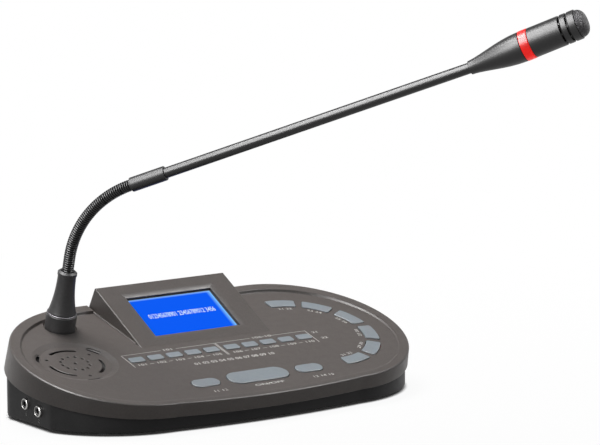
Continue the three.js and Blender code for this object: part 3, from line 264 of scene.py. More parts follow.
def lit_panel(tree):
    """A backlit liquid-crystal panel: saturated blue light from under smooth glass, paler at the
    top edge and the right edge, where the backlight enters."""
    picture = add_node(tree, "ShaderNodeTexCoord").outputs["UV"]
    axes = add_node(tree, "ShaderNodeSeparateXYZ", {"Vector": picture}).outputs
    blue, left, right = linear("005cfa"), linear("0060e8"), linear("78bcff")
    across = ((0.0, left), (0.04, blue), (0.945, blue), (0.99, right))
    up = ((0.0, grey(0.0)), (0.95, grey(0.0)), (0.98, grey(0.55)), (1.0, grey(0.9)))
    sides = add_node(tree, "ShaderNodeValToRGB", {"Fac": axes["X"]}, across)
    top = add_node(tree, "ShaderNodeValToRGB", {"Fac": axes["Y"]}, up)
    sockets = {"Factor": top.outputs["Color"], "A": sides.outputs["Color"], "B": linear("8fc6ff")}
    glow = add_node(tree, "ShaderNodeMix", sockets, data_type="RGBA")
    return {
        "Base Color": linear("02060c"),
        "Roughness": 0.12,
        "IOR": 1.52,
        "Specular IOR Level": 0.15,
        "Emission Color": next(socket for socket in glow.outputs if socket.type == "RGBA"),
        "Emission Strength": 0.95,
    }


def display_ink(tree):
    """The panel's lit digits: cool white light."""
    return {
        "Base Color": linear("101418"),
        "Roughness": 0.2,
        "Emission Color": linear("d6ebff"),
        "Emission Strength": 1.0,
    }


def black_abs(tree):
    """Moulded black ABS: nearly black, with a soft gloss."""
    return {
        "Base Color": varied(tree, linear("141416"), 3 * MM, 0.2),
        "Roughness": roughened(tree, 0.45, 0.06, 3 * MM),
        "IOR": 1.53,
    }


def gooseneck_steel(tree):
    """Wound spring steel under black lacquer: glossy crests and nearly black grooves."""
    return {
        "Base Color": varied(tree, finish("neck"), 2 * MM, 0.15),
        "Roughness": roughened(tree, 0.36, 0.06, 2.5 * MM),
        "IOR": 1.5,
        "Specular IOR Level": 0.34,
    }


def stem_lacquer(tree):
    """Drawn steel tube in dark glossy lacquer: long highlights run along it."""
    return {
        "Base Color": varied(tree, finish("stem"), 4 * MM, 0.06),
        "Roughness": 0.38,
        "IOR": 1.5,
        "Specular IOR Level": 0.34,
    }


def anodised(tree):
    """Bead-blasted, dark anodised aluminium: nearly black, with wide soft highlights."""
    # Blasted grain is about 0.05 mm; it is drawn at 0.5 mm, so that it shows.
    return {
        "Base Color": varied(tree, finish("head"), 1.6 * MM, 0.07),
        "Roughness": 0.43,
        "IOR": 1.5,
        "Specular IOR Level": 0.36,
        "Normal": grained(tree, 0.5 * MM, 0.01 * MM, 0.15, detail=2.0, roughness=0.6),
    }


def dull_anodised(tree):
    """Bead-blasted, dark anodised aluminium on the boot and collar, duller than the head's."""
    return {
        "Base Color": varied(tree, finish("boot"), 1.8 * MM, 0.07),
        "Roughness": roughened(tree, 0.5, 0.05, 5 * MM),
        "IOR": 1.5,
        "Specular IOR Level": 0.3,
        "Normal": grained(tree, 0.6 * MM, 0.03 * MM, 0.4, detail=2.0, roughness=0.6),
    }


def red_diffuser(tree):
    """Translucent red acrylic lit from inside: it glows, and its satin outside still reflects."""
    return {
        "Base Color": finish("light"),
        "Roughness": 0.34,
        "IOR": 1.49,
        "Specular IOR Level": 0.34,
        "Emission Color": varied(tree, finish("light"), 5 * MM, 0.12),
        "Emission Strength": 0.75,
    }


def woven_mesh(tree):
    """Fine woven steel mesh: a grid of round wires with dark gaps."""
    # The map counts wires. The real ones are 0.3 mm apart; these are WIRE_PITCH apart, to show.
    weave = add_node(tree, "ShaderNodeTexCoord").outputs["UV"]
    sockets = {"Vector": weave, "Scale": 1.0, "Distortion": 0.0, "Detail": 0.0}
    across, along = (
        add_node(tree, "ShaderNodeTexWave", sockets, bands_direction=axis).outputs["Fac"]
        for axis in ("X", "Y")
    )
    sockets = {0: across, 1: along}
    wires = add_node(tree, "ShaderNodeMath", sockets, operation="MAXIMUM").outputs["Value"]
    gaps_to_wires = ((0.55, linear("151516")), (0.85, finish("mesh")))
    colours = add_node(tree, "ShaderNodeValToRGB", {"Fac": wires}, gaps_to_wires)
    sockets = {"Height": wires, "Distance": 0.12 * MM, "Strength": 0.6}
    return {
        "Base Color": colours.outputs["Color"],
        "Metallic": 0.6,
        "Roughness": 0.45,
        "Normal": add_node(tree, "ShaderNodeBump", sockets).outputs["Normal"],
    }


def cone_paper(tree):
    """Pressed pulp paper: black fibres with no gloss."""
    return {
        "Base Color": varied(tree, linear("252220"), 1.2 * MM, 0.3),
        "Roughness": 0.95,
        "Normal": grained(tree, 0.8 * MM, 0.1 * MM, 0.6),
    }


def white_ink(tree):
    """Screen-printed ink: an opaque off-white with a dull surface."""
    return {
        "Base Color": varied(tree, finish("ink"), 0.9 * MM, 0.1),
        "Roughness": 0.6,
        "IOR": 1.5,
    }


RECIPES = {
    "moulded_abs": ("textured_abs", moulded_abs),
    "painted_steel": ("powder_coated_steel", painted_steel),
    "key_plastic": ("satin_polycarbonate", key_plastic),
    "rubber": ("moulded_neoprene", neoprene),
    "plated_steel": ("zinc_plated_steel", zinc_plate),
    "chrome": ("chrome_plated_brass", chrome),
    "nickel": ("dark_satin_nickel", nickel),
    "circuit_board": ("green_circuit_board", solder_mask),
    "lit_panel": ("backlit_display_glass", lit_panel),
    "display_ink": ("white_lit_segments", display_ink),
    "black_plastic": ("black_abs", black_abs),
    "black_gooseneck": ("lacquered_spring_steel", gooseneck_steel),
    "dark_tube": ("dark_lacquered_tube", stem_lacquer),
    "dark_anodised": ("dark_anodised_aluminium", anodised),
    "boot_finish": ("dull_anodised_aluminium", dull_anodised),
    "red_diffuser": ("lit_red_acrylic", red_diffuser),
    "grille_steel": ("woven_steel_mesh", woven_mesh),
    "cone_paper": ("pressed_pulp_paper", cone_paper),
    "ink": ("screen_printed_ink", white_ink),
}
MADE = {}


def material_of(slot):
    """The material for a slot, made once."""
    if slot not in MADE:
        name, recipe = RECIPES[slot]
        material = bpy.data.materials.new(name)
        tree = empty_tree(material)
        shader = add_node(tree, "ShaderNodeBsdfPrincipled", recipe(tree))
        add_node(tree, "ShaderNodeOutputMaterial", {"Surface": shader.outputs["BSDF"]})
        MADE[slot] = material
    return MADE[slot]


# Outlines


def polar(centre, radius, angle):
    """The point at a radius and an angle in degrees from a centre."""
    turn = math.radians(angle)
    return (centre[0] + radius * math.cos(turn), centre[1] + radius * math.sin(turn))


def arc(centre, radius, start, end, steps):
    """Points on an arc between two angles in degrees, both ends included."""
    return [polar(centre, radius, start + (end - start) * i / steps) for i in range(steps + 1)]


def circle(centre, radius, steps):
    return arc(centre, radius, 0, 360, steps)[:-1]


def quarter_round(radius, steps):
    """The (inset, drop) of points up a quarter round, from its side to its top."""
    turns = [math.radians(90 * step / steps) for step in range(steps + 1)]
    return [(radius * (1 - math.cos(turn)), radius * (1 - math.sin(turn))) for turn in turns]


def without_repeats(points):
    """Leaves out points that repeat the one before."""
    return [p for i, p in enumerate(points) if math.dist(p, points[i - 1]) > TINY]


def console_outline(size, inset, shift=(0.0, 0.0)):
    """The console's plan: round ends, a straight back and a bowed front, drawn in by an inset."""
    bow_steps, end_steps, back_steps = 40, 72, 24
    radius = size.end_radius - inset
    end_x = size.width / 2 - size.end_radius
    end_y = size.bow / 2
    bow_radius = (end_x**2 + size.bow**2) / (2 * size.bow)
    half = math.degrees(math.asin(end_x / bow_radius))
    middle = (0, end_y - radius - size.bow + bow_radius)
    points = arc(middle, bow_radius, -90 - half, -90 + half, bow_steps)[1:-1]
    points += arc((end_x, end_y), radius, -90, 90, end_steps)
    points += [(end_x * (1 - 2 * i / back_steps), end_y + radius) for i in range(1, back_steps)]
    points += arc((-end_x, end_y), radius, 90, 270, end_steps)
    return [(x + shift[0], y + shift[1]) for x, y in points]


def console_front(size):
    return size.bow / 2 - size.end_radius - size.bow


def console_back(size):
    return size.bow / 2 + size.end_radius


def lip_height(size, y):
    return -size.lip_depth - y * math.tan(size.lip_tilt)


def rim_height(size, y):
    front, back = console_front(size), console_back(size)
    return size.rim_rise * (y - front) / (back - front)


def rectangle(left, right, low, high):
    return [(left, low), (right, low), (right, high), (left, high)]


def rounded_rectangle(centre, width, height, corner, steps=8):
    x, y = width / 2 - corner, height / 2 - corner
    points = []
    for side, end, start in ((1, -1, -90), (1, 1, 0), (-1, 1, 90), (-1, -1, 180)):
        middle = (centre[0] + side * x, centre[1] + end * y)
        points += arc(middle, corner, start, start + 90, steps)
    return without_repeats(points)


def ring_sector(centre, inner, outer, middle, span, corner, grow=0.0, steps=10):
    """A sector of a ring with round corners, grown by a margin all round."""
    low, high, corner = inner - grow, outer + grow, corner + grow
    inside, outside = low + corner, high - corner
    half = span / 2 + math.degrees(grow / outer)
    at_inner, at_outer = (half - math.degrees(math.asin(corner / r)) for r in (inside, outside))

    def round_corner(radius, angle, start, end):
        return arc(polar(centre, radius, middle + angle), corner, middle + start, middle + end, 5)

    return without_repeats(
        arc(centre, high, middle - at_outer, middle + at_outer, steps)
        + round_corner(outside, at_outer, at_outer, half + 90)
        + round_corner(inside, at_inner, half + 90, at_inner + 180)
        + arc(centre, low, middle + at_inner, middle - at_inner, steps)
        + round_corner(inside, -at_inner, -at_inner + 180, -half + 270)
        + round_corner(outside, -at_outer, -half - 90, -at_outer)
    )


def filleted(corners, steps=4):
    """A profile through (radius, height, fillet) corners, each rounded by its fillet."""
    # A fillet takes a little under half of the straight on each side of its corner at most.
    most = 0.49
    points = []
    for i, (r, z, fillet) in enumerate(corners):
        here = Vector((r, z))
        if not fillet or i in (0, len(corners) - 1):
            points.append((r, z))
            continue
        before = Vector(corners[i - 1][:2]) - here
        after = Vector(corners[i + 1][:2]) - here
        turn = before.angle(after)
        reach = min(fillet / math.tan(turn / 2), before.length * most, after.length * most)
        radius = reach * math.tan(turn / 2)
        a, b = before.normalized(), after.normalized()
        middle = here + (a + b).normalized() * (radius / math.sin(turn / 2))
        start, end = here + a * reach - middle, here + b * reach - middle
        sweep = start.angle_signed(end)
        for k in range(steps + 1):
            spun = Matrix.Rotation(-sweep * k / steps, 2) @ start
            points.append(tuple(middle + spun))
    return points


def in_mm(corners):
    """Corners written in millimetres, as metres."""
    return [tuple(value * MM for value in corner) for corner in corners]


# Meshes


def ring_at(outline, height, rise=0.0):
    """An outline lifted to a height, which may depend on y, and by a rise above it."""
    if callable(height):
        return [(x, y, height(y) + rise) for x, y in outline]
    return [(x, y, height + rise) for x, y in outline]


def loft(rings, closed=False):
    """Vertices and faces through rings, lowest first, each anticlockwise seen from above. It is
    capped at both ends, or runs back to its first ring."""
    count = len(rings[0])
    faces = []
    for r in range(len(rings) if closed else len(rings) - 1):
        low, high = r * count, ((r + 1) % len(rings)) * count
        for i in range(count):
            j = (i + 1) % count
            faces.append((low + i, low + j, high + j, high + i))
    if not closed:
        last = (len(rings) - 1) * count
        faces += [tuple(reversed(range(count))), tuple(range(last, last + count))]
    return [p for ring in rings for p in ring], faces


def prism(outline, low, high):
    """An outline between two heights."""
    return loft([ring_at(outline, low), ring_at(outline, high)])


def lathe(profile, steps=64, closed=False):
    """A profile of (radius, height), running up its outside, turned about Z."""
    turns = [2 * math.pi * i / steps for i in range(steps)]
    rings = [
        [(max(r, TINY) * math.cos(turn), max(r, TINY) * math.sin(turn), z) for turn in turns]
        for r, z in profile
    ]
    return loft(rings, closed=closed)


def plug(radius, low, high, steps=32):
    """A round cutter about Z."""
    return lathe([(0, low), (radius, low), (radius, high), (0, high)], steps)


def joined(parts):
    """Several (vertices, faces) as one."""
    vertices, faces = [], []
    for part_vertices, part_faces in parts:
        start = len(vertices)
        vertices += list(part_vertices)
        faces += [tuple(i + start for i in face) for face in part_faces]
    return vertices, faces


def moved(part, matrix):
    """The part's vertices through a matrix."""
    return [tuple(matrix @ Vector(v)) for v in part[0]], part[1]


def mesh_object(name, vertices, faces, place=None):
    """An object in the scene from vertices and faces, with doubles merged, moved by a matrix."""
    mesh = bpy.data.meshes.new(name)
    mesh.from_pydata([tuple(v) for v in vertices], [], faces)
    clean = bmesh.new()
    clean.from_mesh(mesh)
    bmesh.ops.remove_doubles(clean, verts=clean.verts, dist=MERGED)
    bmesh.ops.dissolve_degenerate(clean, edges=clean.edges, dist=TINY)
    bmesh.ops.recalc_face_normals(clean, faces=clean.faces)
    clean.to_mesh(mesh)
    clean.free()
    if place is not None:
        mesh.transform(place)
    piece = bpy.data.objects.new(name, mesh)
    bpy.context.scene.collection.objects.link(piece)
    return piece


def turned(name, profile, place=None, steps=96):
    """A piece turned about Z from a closed profile."""
    return mesh_object(name, *lathe(profile, steps, closed=True), place)


def evaluated_mesh(piece):
    """The object's mesh as its modifiers or its curve make it."""
    graph = bpy.context.evaluated_depsgraph_get()
    return bpy.data.meshes.new_from_object(piece.evaluated_get(graph))


def carve(piece, parts, operation="DIFFERENCE"):
    """Cuts closed parts, which don't overlap each other, out of a piece, or fuses them to it."""
    cutter = mesh_object("cutter", *joined(parts))
    modifier = piece.modifiers.new("carve", "BOOLEAN")
    modifier.operation = operation
    modifier.solver = "EXACT"
    modifier.object = cutter
    mesh = evaluated_mesh(piece)
    piece.modifiers.clear()
    piece.data = mesh
    bpy.data.objects.remove(cutter)


def soften(piece, width, segments, above):
    """Rounds those of a piece's sharp edges that reach above a height."""
    sharpest_left = math.radians(30)
    shape = bmesh.new()
    shape.from_mesh(piece.data)
    sharp = [
        edge
        for edge in shape.edges
        if edge.is_manifold
        and edge.calc_face_angle() > sharpest_left
        and max(v.co.z for v in edge.verts) > above
    ]
    bmesh.ops.bevel(
        shape,
        geom=sharp,
        offset=width,
        segments=segments,
        profile=0.5,
        affect="EDGES",
        clamp_overlap=True,
    )
    shape.to_mesh(piece.data)
    shape.free()


def map_corners(piece, name, place):
    """Adds a map that place works out from each vertex."""
    layer = piece.data.uv_layers.new(name=name)
    for loop in piece.data.loops:
        layer.data[loop.index].uv = place(piece.data.vertices[loop.vertex_index].co)


def digits(text, height, stretch=1.0, weight=0.0):
    """Plain figures as a flat mesh, centred on the origin in the XY plane."""
    figure_share, thickness = 0.7, 0.01 * MM
    curve = bpy.data.curves.new("figures", "FONT")
    curve.body = text
    curve.size = height / figure_share
    curve.align_x = "CENTER"
    curve.align_y = "CENTER"
    curve.extrude = thickness
    curve.offset = weight
    curve.resolution_u = 3
    holder = bpy.data.objects.new("figures", curve)
    bpy.context.scene.collection.objects.link(holder)
    bpy.context.view_layer.update()
    mesh = evaluated_mesh(holder)
    part = (
        [(v.co.x * stretch, v.co.y, v.co.z) for v in mesh.vertices],
        [tuple(p.vertices) for p in mesh.polygons],
    )
    bpy.data.objects.remove(holder)
    bpy.data.curves.remove(curve)
    bpy.data.meshes.remove(mesh)
    return part


def dress(piece, material, body=BASE, replaces=(), smooth=35.0, flat=False):
    """Shades a finished piece, gives it its material and body, hides the CAD nodes it replaces."""
    mesh = piece.data
    mesh.materials.clear()
    mesh.materials.append(material_of(material))
    if not flat:
        mesh.shade_smooth()
        mesh.set_sharp_from_angle(angle=math.radians(smooth))
        weighted = piece.modifiers.new("even_shading", "WEIGHTED_NORMAL")
        weighted.keep_sharp = True
        weighted.weight = 80
    if body:
        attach(piece, body)
    if replaces:
        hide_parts(*replaces)
    return piece


# Sizes and finishes that a user would change


def length_field(name, description, default):
    """A length, with its default in millimetres."""
    return FloatProperty(name=name, description=description, default=default * MM, unit="LENGTH")


def angle_field(name, description, default):
    """An angle, with its default in degrees."""
    default = math.radians(default)
    return FloatProperty(name=name, description=description, default=default, subtype="ANGLE")


def colour_field(name, description, default):
    """A colour, with its default as sRGB hex."""
    default = linear(default)[:3]
    return FloatVectorProperty(name=name, description=description, default=default, subtype="COLOR")


class ConsoleSizes(bpy.types.PropertyGroup):
    width: length_field("Width", "Across the deck's two round ends", 291.4)
    end_radius: length_field("End radius", "Of the two round ends", 72.8)
    bow: length_field("Front bow", "How far the front bulges", 5)
    deck_tilt: angle_field("Deck slope", "Slope of the deck to the desk", 15.6)
    deck_height: length_field("Deck height", "Middle of the deck above the tray's underside", 36.4)
    skirt_flare: length_field("Skirt flare", "Spread of the skirt", 0.8)
    shell_wall: length_field("Shell wall", "Wall of the top shell", 2)
    lip_depth: length_field("Lip depth", "Lip below the deck, at the middle", 15)
    lip_tilt: angle_field("Lip slope", "Slope of the lip away from the deck, towards the back", 4.5)
    rim_width: length_field("Rim width", "Of the raised rim", 7.4)
    rim_rise: length_field("Rim rise", "Of the rim at the back", 2)
    edge_round: length_field("Edge rounding", "Of the deck's edge", 1.3)
    tray_inset: length_field("Tray inset", "Tray wall inside the lip", 1.7)
    face: length_field("Left flat end", "Middle to it", 139.6)
    right_face: length_field("Right flat end", "Middle to it", 137.2)
    foot_height: length_field("Foot height", "Below the tray", 1.7)


class KeySizes(bpy.types.PropertyGroup):
    gap: length_field("Gap", "Between a key and the deck", 0.35)
    proud: length_field("Height", "Of a key above the deck", 0.55)
    edge: length_field("Edge rounding", "Of a key's top edge", 0.4)
    pitch: length_field("Channel key pitch", "Between small keys", 14.6)
    group_gap: length_field("Group gap", "Added between the groups", 1.6)
    count: IntProperty(name="Channel keys", description="In the row", default=10)
    row_x: length_field("Channel row middle", "Its place across", 1.2)
    row_y: length_field("Channel row", "Place of the row", -6.2)
    oval_x: length_field("Talk key middle", "Its place across", 1.8)
    oval_y: length_field("Oval row", "Place of the oval keys", -49)
    oval_pitch: length_field("Oval pitch", "Oval key to talk key", 40.8)
    arc_outer: length_field("Arc outside", "Outer radius of the arc", 50.8)
    arc_inner: length_field("Arc inside", "Inner radius of the arc", 41)
    arc_x: length_field("Arc centre", "Its place across", 73.6)
    arc_y: length_field("Arc centre up", "Its place up the deck", -0.5)
    arc_count: IntProperty(name="Arc keys", description="In the arc", default=6)


class DisplaySizes(bpy.types.PropertyGroup):
    left: length_field("Hood left", "Middle to its left side", 52.2)
    right: length_field("Hood right", "Middle to its right side", 51.1)
    front: length_field("Hood front", "Place of its front edge", 9.2)
    top: length_field("Hood top", "Place of its top edge", 72.4)
    rise: length_field("Hood rise", "Of its top edge", 15.1)
    window_width: length_field("Window width", "Across its bevel", 75.7)
    window_height: length_field("Window height", "Up its bevel", 49.1)
    window_front: length_field("Window place", "From the hood's front edge, along its face", 7.4)
    bevel: length_field("Window bevel", "Width of its bevel", 3.7)
    bevel_drop: length_field("Bevel depth", "Of the window's bevel", 1.5)
    spread: length_field("Side spread", "Of the side walls' foot", 1.6)
    well: length_field("Panel depth", "Below the hood's face", 3.0)
    text: StringProperty(
        name="Figures",
        description="Plain figures across the display",
        default="012345678901 23456789012 3456",
    )


class SpeakerSizes(bpy.types.PropertyGroup):
    x: length_field("Place across", "Of its middle", -106)
    y: length_field("Place up the deck", "Of its middle", 3.7)
    radius: length_field("Dish radius", "At the deck", 28.4)
    depth: length_field("Dish depth", "Below the deck", 1.5)
    slope: length_field("Dish edge", "Run of its sloping edge", 4.6)
    hole: length_field("Hole radius", "Of the round holes", 1.1)


class ArmSizes(bpy.types.PropertyGroup):
    x: length_field("Place across", "Of the boot's axis", -89)
    y: length_field("Place up the deck", "Of the boot's axis", 52.4)
    heading: angle_field("Heading", "Where the arm points over the deck", -44)
    boot_top: length_field("Boot top", "Above the deck", 41)
    straight: length_field("Neck straight", "Upright length", 49.9)
    bend_radius: length_field("Bend radius", "Of the neck", 69.3)
    bend: angle_field("Bend", "Of the neck", 58.5)
    neck_radius: length_field("Neck radius", "At its ribs", 3.9)
    rib_pitch: length_field("Rib pitch", "Along the neck", 1.5)
    ferrule_length: length_field("Ferrule length", "Of the ferrule", 25.2)
    ferrule_radius: length_field("Ferrule radius", "Of the ferrule", 4.85)
    stem_length: length_field("Stem length", "Bare length", 212.6)
    stem_radius: length_field("Stem radius", "Of the stem", 3.55)
    head_lift: angle_field("Head lift", "Of the head above the stem's line", 3)
    head_radius: length_field("Head radius", "Of the barrel", 9.7)


class Finishes(bpy.types.PropertyGroup):
    deck: colour_field("Deck", "Moulded ABS", "605a57")
    deck_roughness: FloatProperty(
        name="Deck roughness", description="Of the ABS", subtype="FACTOR", default=0.43
    )
    tray: colour_field("Tray", "Powder coat", "1c1b1c")
    keys: colour_field("Keys", "Key tops", "8b949b")
    neck: colour_field("Gooseneck", "Lacquer", "1d1d1e")
    stem: colour_field("Stem", "Lacquer", "161516")
    head: colour_field("Head", "Anodising", "171617")
    boot: colour_field("Boot", "Anodising", "494849")
    light: colour_field("Light ring", "Red acrylic", "ea1a14")
    mesh: colour_field("Mesh cap", "Woven steel", "3a393b")
    ink: colour_field("Printing", "Ink", "c9c7c3")


# Keys as (width, height, corner radius), and angles of the arc in degrees

CHANNEL_KEY = (10.8 * MM, 6.6 * MM, 1.4 * MM)
TALK_KEY = (46.6 * MM, 15.8 * MM, 7.89 * MM)
OVAL_KEY = (20.6 * MM, 10.4 * MM, 5.19 * MM)
ARC_KEY_CORNER = 1.5 * MM
ARC_PITCH, ARC_SPAN = 31.2, 25

# Places in mm, (x, y) on the tray's underside and (y, z) on its left end

FEET = ((-88, -46), (88, -46), (-88, 56), (88, 56))
SCREWS = ((-112, -40), (112, -40), (-124, 40), (124, 40))
JACKS = {"headphone": (10.8, 12.2), "headset_microphone": (-5.2, 10.0)}

# The boot's cap, the grooves in the head with the vents in each, and the mesh's wires

BOOT_CAP = 3.2 * MM
GROOVES, VENTS = 2, 8
WIRE_PITCH = 0.75 * MM

# The camera and the lamps, set to those of the photograph

CAMERA_PLACE = (-1.3321, -1.9838, 0.505)
CAMERA_LENS = 220.5
YAW, PITCH, ROLL = (math.radians(angle) for angle in (35.24, 9.2, -0.24))
AIM = (0.0, -0.05, 0.08)
SOFTBOX = ("overhead_softbox", (-0.05, 0.6, 1.45), (1.0, 0.7), 29)
REFLECTORS = (
    ("left_reflector", (-1.03, -0.24, 0.98), (0.7, 1.2), 80),
    ("right_reflector", (0.91, -0.58, 1.22), (0.6, 0.6), 42),
    ("top_reflector", (-0.57, 0.36, 1.32), (0.45, 0.45), 30),
)


# Frames of the pieces


def deck_matrix(size):
    """From the deck's frame to the part's frame."""
    return Matrix.Translation((0, 0, size.deck_height)) @ Matrix.Rotation(size.deck_tilt, 4, "X")


def hood_matrix(context):
    """From the hood's face, y up it and z out of it, to the part's frame."""
    hood = context.scene.display_sizes
    tilt = math.atan2(hood.rise, hood.top - hood.front)
    place = Matrix.Translation((0, hood.front, 0.05 * MM)) @ Matrix.Rotation(tilt, 4, "X")
    return deck_matrix(context.scene.console_sizes) @ place


def arm_matrix(context):
    """From the arm's frame, z up the neck and x the arm's heading, to the part's frame."""
    arm = context.scene.arm_sizes
    place = Matrix.Translation((arm.x, arm.y, 0)) @ Matrix.Rotation(arm.heading, 4, "Z")
    return deck_matrix(context.scene.console_sizes) @ place


def neck_start(arm):
    """The gooseneck stands a little way down in the boot's cap."""
    return arm.boot_top - BOOT_CAP / 3


def neck_end(arm):
    return arm.straight + arm.bend_radius * arm.bend


def neck_frame(arm, distance):
    """The neck's frame at a distance along it, in the arm's frame."""
    turn = max(0.0, distance - arm.straight) / arm.bend_radius
    x = arm.bend_radius * (1 - math.cos(turn))
    z = min(distance, arm.straight) + arm.bend_radius * math.sin(turn)
    return Matrix.Translation((x, 0, z)) @ Matrix.Rotation(turn, 4, "Y")


def stem_matrix(context):
    """From the stem's frame, z along it from the ferrule's lower end, to the part's frame."""
    arm = context.scene.arm_sizes
    return arm_matrix(context) @ neck_frame(arm, neck_end(arm))


def head_matrix(context):
    """From the head's frame, z along it from its cone's lower end, to the part's frame."""
    arm = context.scene.arm_sizes
    start = Matrix.Translation((0, 0, arm.ferrule_length + arm.stem_length))
    return stem_matrix(context) @ start @ Matrix.Rotation(-arm.head_lift, 4, "Y")


def jack_places(context):
    """The frames of the two jacks, z out of the tray's left end."""
    face = context.scene.console_sizes.face
    turn = Matrix.Rotation(math.radians(-90), 4, "Y")
    return [Matrix.Translation((-face, y * MM, z * MM)) @ turn for y, z in JACKS.values()]


def socket_place():
    """The frame of the bus socket, z out of the tray's back."""
    flange = 1.9 * MM
    low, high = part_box("bus_socket")
    middle = (low + high) / 2
    place = Matrix.Translation((middle.x, high.y - flange, middle.z))
    return place @ Matrix.Rotation(math.radians(-90), 4, "X")


# Pieces


class BuildStage(bpy.types.Operator):
    """Sets up the camera, the lamps, the floor and the surroundings"""

    bl_idname = "console.stage"
    bl_label = "Stage"

    def execute(self, context):
        self.add_camera(context)
        self.add_floor(context)
        # The softbox gives the plain light. The reflectors are there to be seen in lacquer, metal
        # and smooth edges, and add no light of their own.
        self.add_lamp(*SOFTBOX).visible_glossy = False
        for reflector in REFLECTORS:
            self.add_lamp(*reflector).visible_diffuse = False
        self.set_surroundings(context)
        return {"FINISHED"}

    def add_camera(self, context):
        camera = bpy.data.objects.new("camera", bpy.data.cameras.new("camera"))
        context.scene.collection.objects.link(camera)
        level = Vector((math.cos(YAW), -math.sin(YAW), 0))
        forward = Vector(
            (math.sin(YAW) * math.cos(PITCH), math.cos(YAW) * math.cos(PITCH), -math.sin(PITCH))
        )
        upright = level.cross(forward)
        right = level * math.cos(ROLL) + upright * math.sin(ROLL)
        up = upright * math.cos(ROLL) - level * math.sin(ROLL)
        turn = Matrix((right, up, -forward)).transposed().to_4x4()
        camera.matrix_world = Matrix.Translation(CAMERA_PLACE) @ turn
        camera.data.lens = CAMERA_LENS
        camera.data.sensor_width = 36
        camera.data.clip_end = 20
        context.scene.camera = camera

    def add_floor(self, context):
        """A sheet of paper that shows plain white, but for a twentieth near the object that keeps
        its shadow, and that is left unlit in the narrow gap under the tray."""
        half, low = 4.0, -context.scene.console_sizes.foot_height
        near, far, shadow_share = 0.2, 0.6, 0.05
        gap, least_sky, open_sky = 3 * MM, 0.45, 0.95
        corners = ring_at(rectangle(-half, half, -half, half), low)
        floor = mesh_object("floor", corners, [(0, 1, 2, 3)])
        material = bpy.data.materials.new("white_paper_sweep")
        tree = empty_tree(material)
        shown = self.shown(tree)
        place = add_node(tree, "ShaderNodeTexCoord").outputs["Object"]
        distance = add_node(tree, "ShaderNodeVectorMath", {0: place}, operation="LENGTH")
        sockets = {
            "Value": distance.outputs["Value"],
            "From Min": near,
            "From Max": far,
            "To Min": 1.0 - shadow_share,
            "To Max": 1.0,
        }
        most = add_node(tree, "ShaderNodeMapRange", sockets)
        sky = add_node(tree, "ShaderNodeAmbientOcclusion", {"Distance": gap}, samples=8)
        sockets = {
            "Value": sky.outputs["AO"],
            "From Min": least_sky,
            "From Max": open_sky,
            "To Min": 0.0,
            "To Max": most.outputs["Result"],
        }
        white_share = add_node(tree, "ShaderNodeMapRange", sockets)
        sockets = {0: shown, 1: white_share.outputs["Result"]}
        share = add_node(tree, "ShaderNodeMath", sockets, operation="MULTIPLY")

        # It is darker to light that is passed on, so that little of it comes back to the object.
        passed_to_shown = ((0.0, grey(0.2)), (1.0, grey(0.95)))
        paper_colour = add_node(tree, "ShaderNodeValToRGB", {"Fac": shown}, passed_to_shown)
        sockets = {"Color": paper_colour.outputs["Color"], "Roughness": 0.5}
        paper = add_node(tree, "ShaderNodeBsdfDiffuse", sockets)
        white = add_node(tree, "ShaderNodeEmission", {"Color": grey(1.0), "Strength": 1.0})
        sockets = {"Fac": share.outputs["Value"], 1: paper.outputs[0], 2: white.outputs[0]}
        both = add_node(tree, "ShaderNodeMixShader", sockets)
        add_node(tree, "ShaderNodeOutputMaterial", {"Surface": both.outputs[0]})
        floor.data.materials.append(material)

    def shown(self, tree):
        """1 for what the camera, metal and glass see, and 0 for light that is passed on."""
        rays = add_node(tree, "ShaderNodeLightPath").outputs
        shown = rays["Is Camera Ray"]
        for kind in ("Is Glossy Ray", "Is Transmission Ray"):
            sockets = {0: shown, 1: rays[kind]}
            shown = add_node(tree, "ShaderNodeMath", sockets, operation="MAXIMUM").outputs["Value"]
        return shown

    def add_lamp(self, name, place, size, power):
        lamp = bpy.data.objects.new(name, bpy.data.lights.new(name, "AREA"))
        lamp.data.shape = "RECTANGLE"
        lamp.data.size, lamp.data.size_y = size
        lamp.data.energy = power
        lamp.location = place
        aim = Vector(AIM) - Vector(place)
        lamp.rotation_euler = aim.to_track_quat("-Z", "Y").to_euler()
        bpy.context.scene.collection.objects.link(lamp)
        return lamp

    def set_surroundings(self, context):
        """White all round up to 17 degrees above the horizon, and dark from 30 degrees up."""
        world = bpy.data.worlds.new("white_studio")
        tree = empty_tree(world)
        direction = add_node(tree, "ShaderNodeTexCoord").outputs["Generated"]
        axes = add_node(tree, "ShaderNodeSeparateXYZ", {"Vector": direction}).outputs
        low_to_high = ((0.3, grey(1.0)), (0.5, grey(0.12)))
        walls = add_node(tree, "ShaderNodeValToRGB", {"Fac": axes["Z"]}, low_to_high)
        dim = add_node(tree, "ShaderNodeBackground", {"Color": grey(1.0), "Strength": 0.08})
        sockets = {"Color": walls.outputs["Color"], "Strength": 1.0}
        white = add_node(tree, "ShaderNodeBackground", sockets)
        sockets = {"Fac": self.shown(tree), 1: dim.outputs[0], 2: white.outputs[0]}
        mix = add_node(tree, "ShaderNodeMixShader", sockets)
        add_node(tree, "ShaderNodeOutputWorld", {"Surface": mix.outputs[0]})
        context.scene.world = world
        context.scene.view_settings.view_transform = "Standard"


